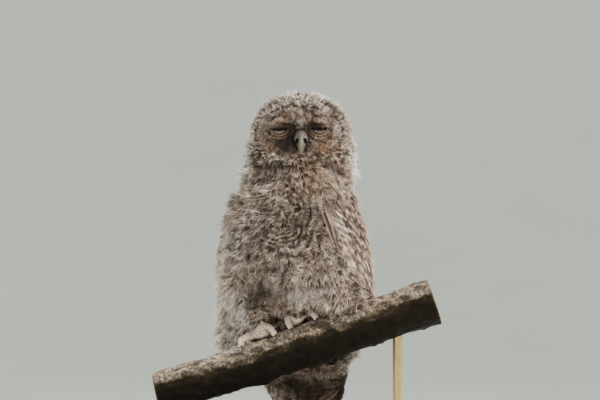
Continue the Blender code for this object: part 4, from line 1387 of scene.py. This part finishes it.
lifts *= 1 - 0.6 * (step_from(starts[:, 2], 232, 10) * (row >= 0))[:, None]
coat = vanes(starts, aims, lengths, widths, lifts, 51, 30, 0.07)
along, across = coat["attributes"]["along"], coat["across"] * by_feather(coat, sign)
long = by_feather(coat, np.array(lengths))
seed = by_feather(coat, dice.uniform(size=len(starts)))
in_row = by_feather(coat, row)
past, height = past_lead(coat["points"])
past = past - lap(height, coat["points"][:, 0])
wander = 0.5 * SPECKLE(coat["points"]) + 0.5 * (seed - 0.5)
# rusty quills below, and the narrow pair in front, rusty with a pale edge, the rear one part lilac
quill, strip = smooth_step(in_row - QUILL_ROW + 1), in_row < -0.5
lilac = (in_row < -1.5) * smooth_step((along - 0.35) / 0.2) * smooth_step((0.9 - along) / 0.1)
edge = strip * smooth_step((-across - 0.4) / 0.2)
# white spots in slanting rows behind the strip
spotted = smooth_step((past - 1) / 2) * smooth_step((20 - past) / 4) * smooth_step((height - 200) / 5)
spotted = spotted * (1 - strip)
frosted = spotted * smooth_step((228 - height) / 5)
rows_wave = np.sin(2 * np.pi * (height + 0.7 * past) / WHITE_APART + wander)
spot = spotted * smooth_step((rows_wave + 0.1 + 0.5 * frosted) / 0.3)
# brown and pale mottling behind them
scallop = smooth_step((along - 0.56 - 0.15 * np.abs(across) + 0.3 * wander) / 0.16) * (1 - quill)
mottle = (1 - spotted) * np.maximum(scallop, 0.6 * bell(np.abs(across) - 1, 0.25)) * (1 - strip)
specks = smooth_step((FLECKS(coat["points"]) - 0.25) / 0.3) * (1 - spotted) * (1 - strip) * (1 - quill)
beyond = bell(past - 21, 3.5) * smooth_step((height - 192) / 4) * smooth_step((240 - height) / 5)
beyond *= smooth_step((np.sin(2 * np.pi * height / 8.0 + wander) - 0.1) / 0.4)
dark = (1 - 0.35 * frosted) * spotted * (1 - spot) + 0.9 * beyond + 0.25 * (1 - spotted) * (1 - mottle)
dark += 0.55 * specks + 0.2 * bell(across, 0.12) + 0.2 * strip
rust = 0.7 * (1 - spotted) * (1 - mottle) * (1 - quill) + strip + 0.3 * quill
pale = 0.68 * spot + (0.2 + 0.35 * seed) * mottle * (1 - 0.7 * quill) + 0.35 * edge + 0.2 * lilac
painted(
    coat,
    bar=along * long / BAR_APART + seed * 0.15 + np.abs(across) * 0.25,
    band=np.where(strip, 0.15, 0.12 + 0.75 * quill),
    dark=np.clip(dark, 0, 1) * (1 - edge) * (1 - 0.45 * lilac),
    buff=np.clip(0.3 + 0.4 * seed + edge, 0, 1) * (1 - 0.6 * spotted),
    rust=np.clip(rust, 0, 1) * (1 - edge) * (1 - spot) * (1 - 0.6 * lilac),
    pale=np.clip(pale, 0, 1) * (1 - beyond) * (1 - specks),
    bare=0,
    toe=0,
    along=0.5 + 0.4 * along,
    strand=coat["attributes"]["strand"] * 0.4 + 0.35,
    chance=coat["attributes"]["chance"] * 0.5 + 0.3,
)
plant("wing_feathers", out_of_perch(coat), "feather")

# tail quills, laid like roof slates from the middle pair outwards
TAIL_QUILLS, TAIL_LENGTH, TAIL_WIDTH = 12, 64, 14  # the last two in mm
TAIL_SPREAD = 62  # degrees to either side
fold = (np.arange(TAIL_QUILLS) + 0.5) / TAIL_QUILLS * 2 - 1
starts, aims = (np.array([trunk_spot(z, 180 + TAIL_SPREAD * share) for share in fold]) for z in (106, 75))
lifts = np.stack([np.ones(TAIL_QUILLS), 3.2 - 1.6 * np.abs(fold)], 1)
coat = vanes(starts, aims - starts, TAIL_LENGTH, TAIL_WIDTH, lifts, 61, 34, 0.08)
along, across = coat["attributes"]["along"], coat["across"]
painted(coat, bar=along * TAIL_LENGTH / BAR_APART + np.abs(across) * 0.3, band=0.85,
        dark=0.5 * bell(across, 0.1), buff=0.5, rust=0.35, pale=0.5 * smooth_step((along - 0.93) / 0.05),
        bare=0, toe=0, along=0.5 + 0.35 * along)
plant("tail_feathers", coat, "feather")


def from_the_front(x, z):
    """The skin straight behind a place in front of the bird."""
    hit = skin_tree.ray_cast(Vector((x, -0.1, z)), Vector((0, 1, 0)), 0.3)[0]
    return hit and hit[:]


# long rusty coverts with cream edges sweep down across the left of the tail, the outermost spotted dark:
# place, lean, length and width in mm
COVERTS = (
    (43, 77, 1.25, 32, 6.5), (47, 86, 1.15, 36, 6.5), (48, 95, 0.95, 38, 7), (50, 106, 0.4, 38, 7.5),
)
COVERT_LENGTH, COVERT_BARS_APART, COVERT_SPOTS_APART = 38, 8, 7.5  # mm
found = [(from_the_front(x * MM, z * MM), (-lean, 0.1, -1), long, wide) for x, z, lean, long, wide in COVERTS]
starts, aims, lengths, widths = zip(*[f for f in found if f[0]])
coat = vanes(starts, aims, lengths, widths, (2.4, 4.4), 65, 40, 0.05)
along, across = coat["attributes"]["along"], coat["across"]
outer = by_feather(coat, np.arange(len(starts)) >= len(starts) - 1)
cream = smooth_step((np.abs(across) - 0.62) / 0.12) * (1 - outer)
spots = outer * smooth_step((np.sin(2 * np.pi * along * COVERT_LENGTH / COVERT_SPOTS_APART) + 0.1) / 0.3)
spots *= smooth_step((np.abs(across) - 0.2) / 0.2)
painted(coat, bar=along * COVERT_LENGTH / COVERT_BARS_APART + np.abs(across) * 0.3, band=0.4,
        dark=np.clip(0.45 * (1 - cream) + 0.5 * spots, 0, 1), buff=0.5 + 0.4 * cream,
        rust=0.7 * (1 - cream) * (1 - outer), pale=np.clip(0.55 * cream + 0.6 * outer * (1 - spots), 0, 1),
        bare=0, toe=0, along=0.55 + 0.35 * along)
plant("tail_coverts", out_of_perch(coat), "feather")

# the ruff: short stiff feathers barred black and white round the disc. Each ring has a size and a step
starts, ways = [], []
for ring, (size, step) in enumerate(((1.03, 0.062), (1.1, 0.066), (1.17, 0.072), (1.25, 0.078))):
    for angle in np.arange(-0.55 + step / 2 * (ring % 2), math.pi + 0.55, step):
        x = DISC_MIDDLE[0] + DISC_HALF_WIDTH * size * math.cos(angle)
        z = DISC_MIDDLE[2] + (DISC_HALF_HEIGHT + (6 * MM if angle > 0 else 0)) * size * math.sin(angle)
        hit = from_the_front(x, z)
        if hit and hit[1] < 50 * MM and (abs(x - FACE_X) >= 20 * MM or z <= DISC_MIDDLE[2]):
            starts.append(hit)
            ways.append((math.cos(angle), 0.4, math.sin(angle)))
coat = vanes(starts, ways, 8, 3.6, (3.0, 6.4), 71, 12, 0.25)
along = coat["attributes"]["along"]
bar = along * 2.4 + by_feather(coat, dice.uniform(size=len(starts)))
wave = np.sin(bar * 2 * np.pi)
painted(coat, bar=bar, band=1.0, dark=0.95 * smooth_step((wave - 0.1) / 0.4), buff=0.2, rust=0,
        pale=0.9 * smooth_step((-wave - 0.1) / 0.4), bare=0, toe=0, along=0.6 + 0.3 * along)
plant("ruff", coat)

# ---- building: eyes, bill, claws, perch and stand ----


NOSTRIL = (3.5 * MM, 0.2922)  # off the middle line, and height
NOSTRIL_R, NOSTRIL_DEPTH = 1.75, 2.8 * MM  # the first in mm
BILL_TIP_WIDTH = 0.5 * MM
WARTS = 110


def bill_mesh(name, upper_curve, lower_curve, half_width):
    """A bill as rings from its root to its tip between two quarter ellipses, each (reach, rise)."""
    root_y, tip_z = BILL_HIGH.y - 9.5 * MM, CHIN_Z + 2.8 * MM
    ring_count, sides = 96, 72
    upper = half_width > 5 * MM
    turns = np.radians(np.linspace(88, 0, ring_count))[:, None]
    a = np.linspace(0, 2 * np.pi, sides, endpoint=False)[None, :]
    top = np.stack([root_y - upper_curve[0] * np.cos(turns), tip_z + upper_curve[1] * np.sin(turns)], -1)
    low = np.stack([root_y - lower_curve[0] * np.cos(turns), tip_z + lower_curve[1] * np.sin(turns)], -1)
    middle_line, half = (top + low) / 2, (top - low) / 2
    waist = np.interp(np.degrees(turns), (0, 40, 58, 90), (1.0, 0.86, 1.0, 1.0))
    width = BILL_TIP_WIDTH + (half_width - BILL_TIP_WIDTH) * np.sin(turns) ** 0.8 * waist
    pinch = 1 - 0.22 * np.maximum(np.sin(a), 0) ** 3
    x = FACE_X + width * np.cos(a) * pinch
    yz = middle_line + half * np.sin(a)[..., None]
    points = np.stack([x, yz[..., 0], yz[..., 1]], -1)
    root = points[:1] + np.array((0, 9 * MM, 0))
    points = np.concatenate([root, points])
    rings = len(points)
    points = points.reshape(-1, 3)
    index = np.arange(rings * sides).reshape(rings, sides)
    turned = np.roll(index, -1, 1)
    ends = np.full((2, sides), len(points)) + [[0], [1]]
    points = np.concatenate([points, [points[index[-1]].mean(0), points[index[0]].mean(0)]])
    tip_fan = np.stack([turned[-1], ends[0], index[-1]], -1)
    root_fan = np.stack([index[0], ends[1], turned[0]], -1)
    faces = [ring_quads(index), np.concatenate([tip_fan, root_fan])]
    along = np.append(np.repeat(np.append(0, np.linspace(0, 1, ring_count)), sides), (1.0, 0.0))
    normals = point_normals(points, faces)
    off = np.hypot(np.abs(points[:, 0] - FACE_X) - NOSTRIL[0], (points[:, 2] - NOSTRIL[1]) * 0.7)
    pit = step_from(off, NOSTRIL_R, -0.4) * (points[:, 1] < -36 * MM) * upper
    cere = 0.4 * MM * smooth_step((0.4 - along) / 0.06) * upper
    # the ridge along the top, painted lighter as a highlight
    lit_ridge = bell(points[:, 0] - FACE_X, (2.1 - 0.9 * along) * MM) * upper
    points = points + normals * (cere - NOSTRIL_DEPTH * pit)[:, None]
    return mesh_from_arrays(name, points, faces, {"along": along, "pit": pit, "lit_ridge": lit_ridge})


bill_horn = bill_material()
for name, curves, width in (
    ("bill_upper", ((17 * MM, 23 * MM), (14 * MM, 9 * MM)), 6 * MM),
    ("bill_lower", ((12.8 * MM, 8.4 * MM), (10.8 * MM, 5.2 * MM)), 3.6 * MM),
):
    add_piece(name + "_horn", bill_mesh(name + "_horn", *curves, width), bill_horn, "bill_horn", name)

wet_eye = eye_material()
for side, centre in EYES.items():
    bm, place = bmesh.new(), Matrix.Translation(centre)
    bmesh.ops.create_uvsphere(bm, u_segments=48, v_segments=32, radius=EYE_R, matrix=place)
    mesh = bpy.data.meshes.new(f"eyeball_{side}")
    bm.to_mesh(mesh)
    bm.free()
    mesh.shade_smooth()
    add_piece(f"eyeball_{side}", mesh, wet_eye, "eye", f"eye_{side}")

claws = [n for n in nodes if n.startswith("claw_")]
points, quads = fused(solids(*claws), 0.32 * MM)
points = relaxed(points, neighbours([quads]), 5)
add_piece("claws", mesh_from_arrays("claws", points, [quads]), claw_material(), "claw_horn", *claws)

points, quads = fused(solids("perch"), 0.95 * MM)
pairs = neighbours([quads])
axis = np.array((math.cos(slope), 0, math.sin(slope)))
normals = point_normals(points, [quads])
sawn = relaxed((np.abs(normals @ axis) > 0.75).astype(float), pairs, 1)
points = points + (relaxed(points, pairs, 10) - points) * (1 - sawn[:, None])
normals = relaxed(point_normals(points, [quads]), pairs, 2)
stretched = points * (1 - 0.62 * axis)
ridges = 1 - np.abs(Drift(4.5 * MM, 81, 30)(stretched))
lumps = Drift(14 * MM, 82)(points) + 0.6 * Drift(5 * MM, 84)(points)
own = np.random.default_rng(83)
warts = np.zeros(len(points))
for _ in range(WARTS):
    spot = points[own.integers(len(points))]
    size = own.uniform(1.0, 2.4) * MM
    warts = np.maximum(warts, bell(np.linalg.norm((points - spot) * (1 - 0.35 * axis), axis=1), size) * size)
relief = (0.35 * MM * (ridges - 0.6) + 0.2 * MM * lumps + 0.55 * warts) * (1 - sawn)
points = points + normals * relief[:, None]
attributes = {
    # relief is 1 in the furrows, where shade is painted; up is how far the bark faces up, for its painted
    # light and shade
    "relief": np.clip(0.5 - (ridges - 0.35) * 1.2, 0, 1) * (1 - sawn),
    "up": np.clip((normals[:, 2] + 0.07 * lumps + 0.55) / 1.4, 0, 1),
    "sawn": sawn,
    "ring": np.hypot(*off_perch(points)[0].T) * 2 * np.pi / (1.3 * MM),
}
add_piece("bark", mesh_from_arrays("bark", points, [quads], attributes), bark_material(), "bark", "perch")

walnut, brass = stand_materials()
for name in nodes:
    if name.startswith("stand_"):
        nodes[name].data.materials.clear()
        nodes[name].data.materials.append(walnut if name == "stand_base" else brass)
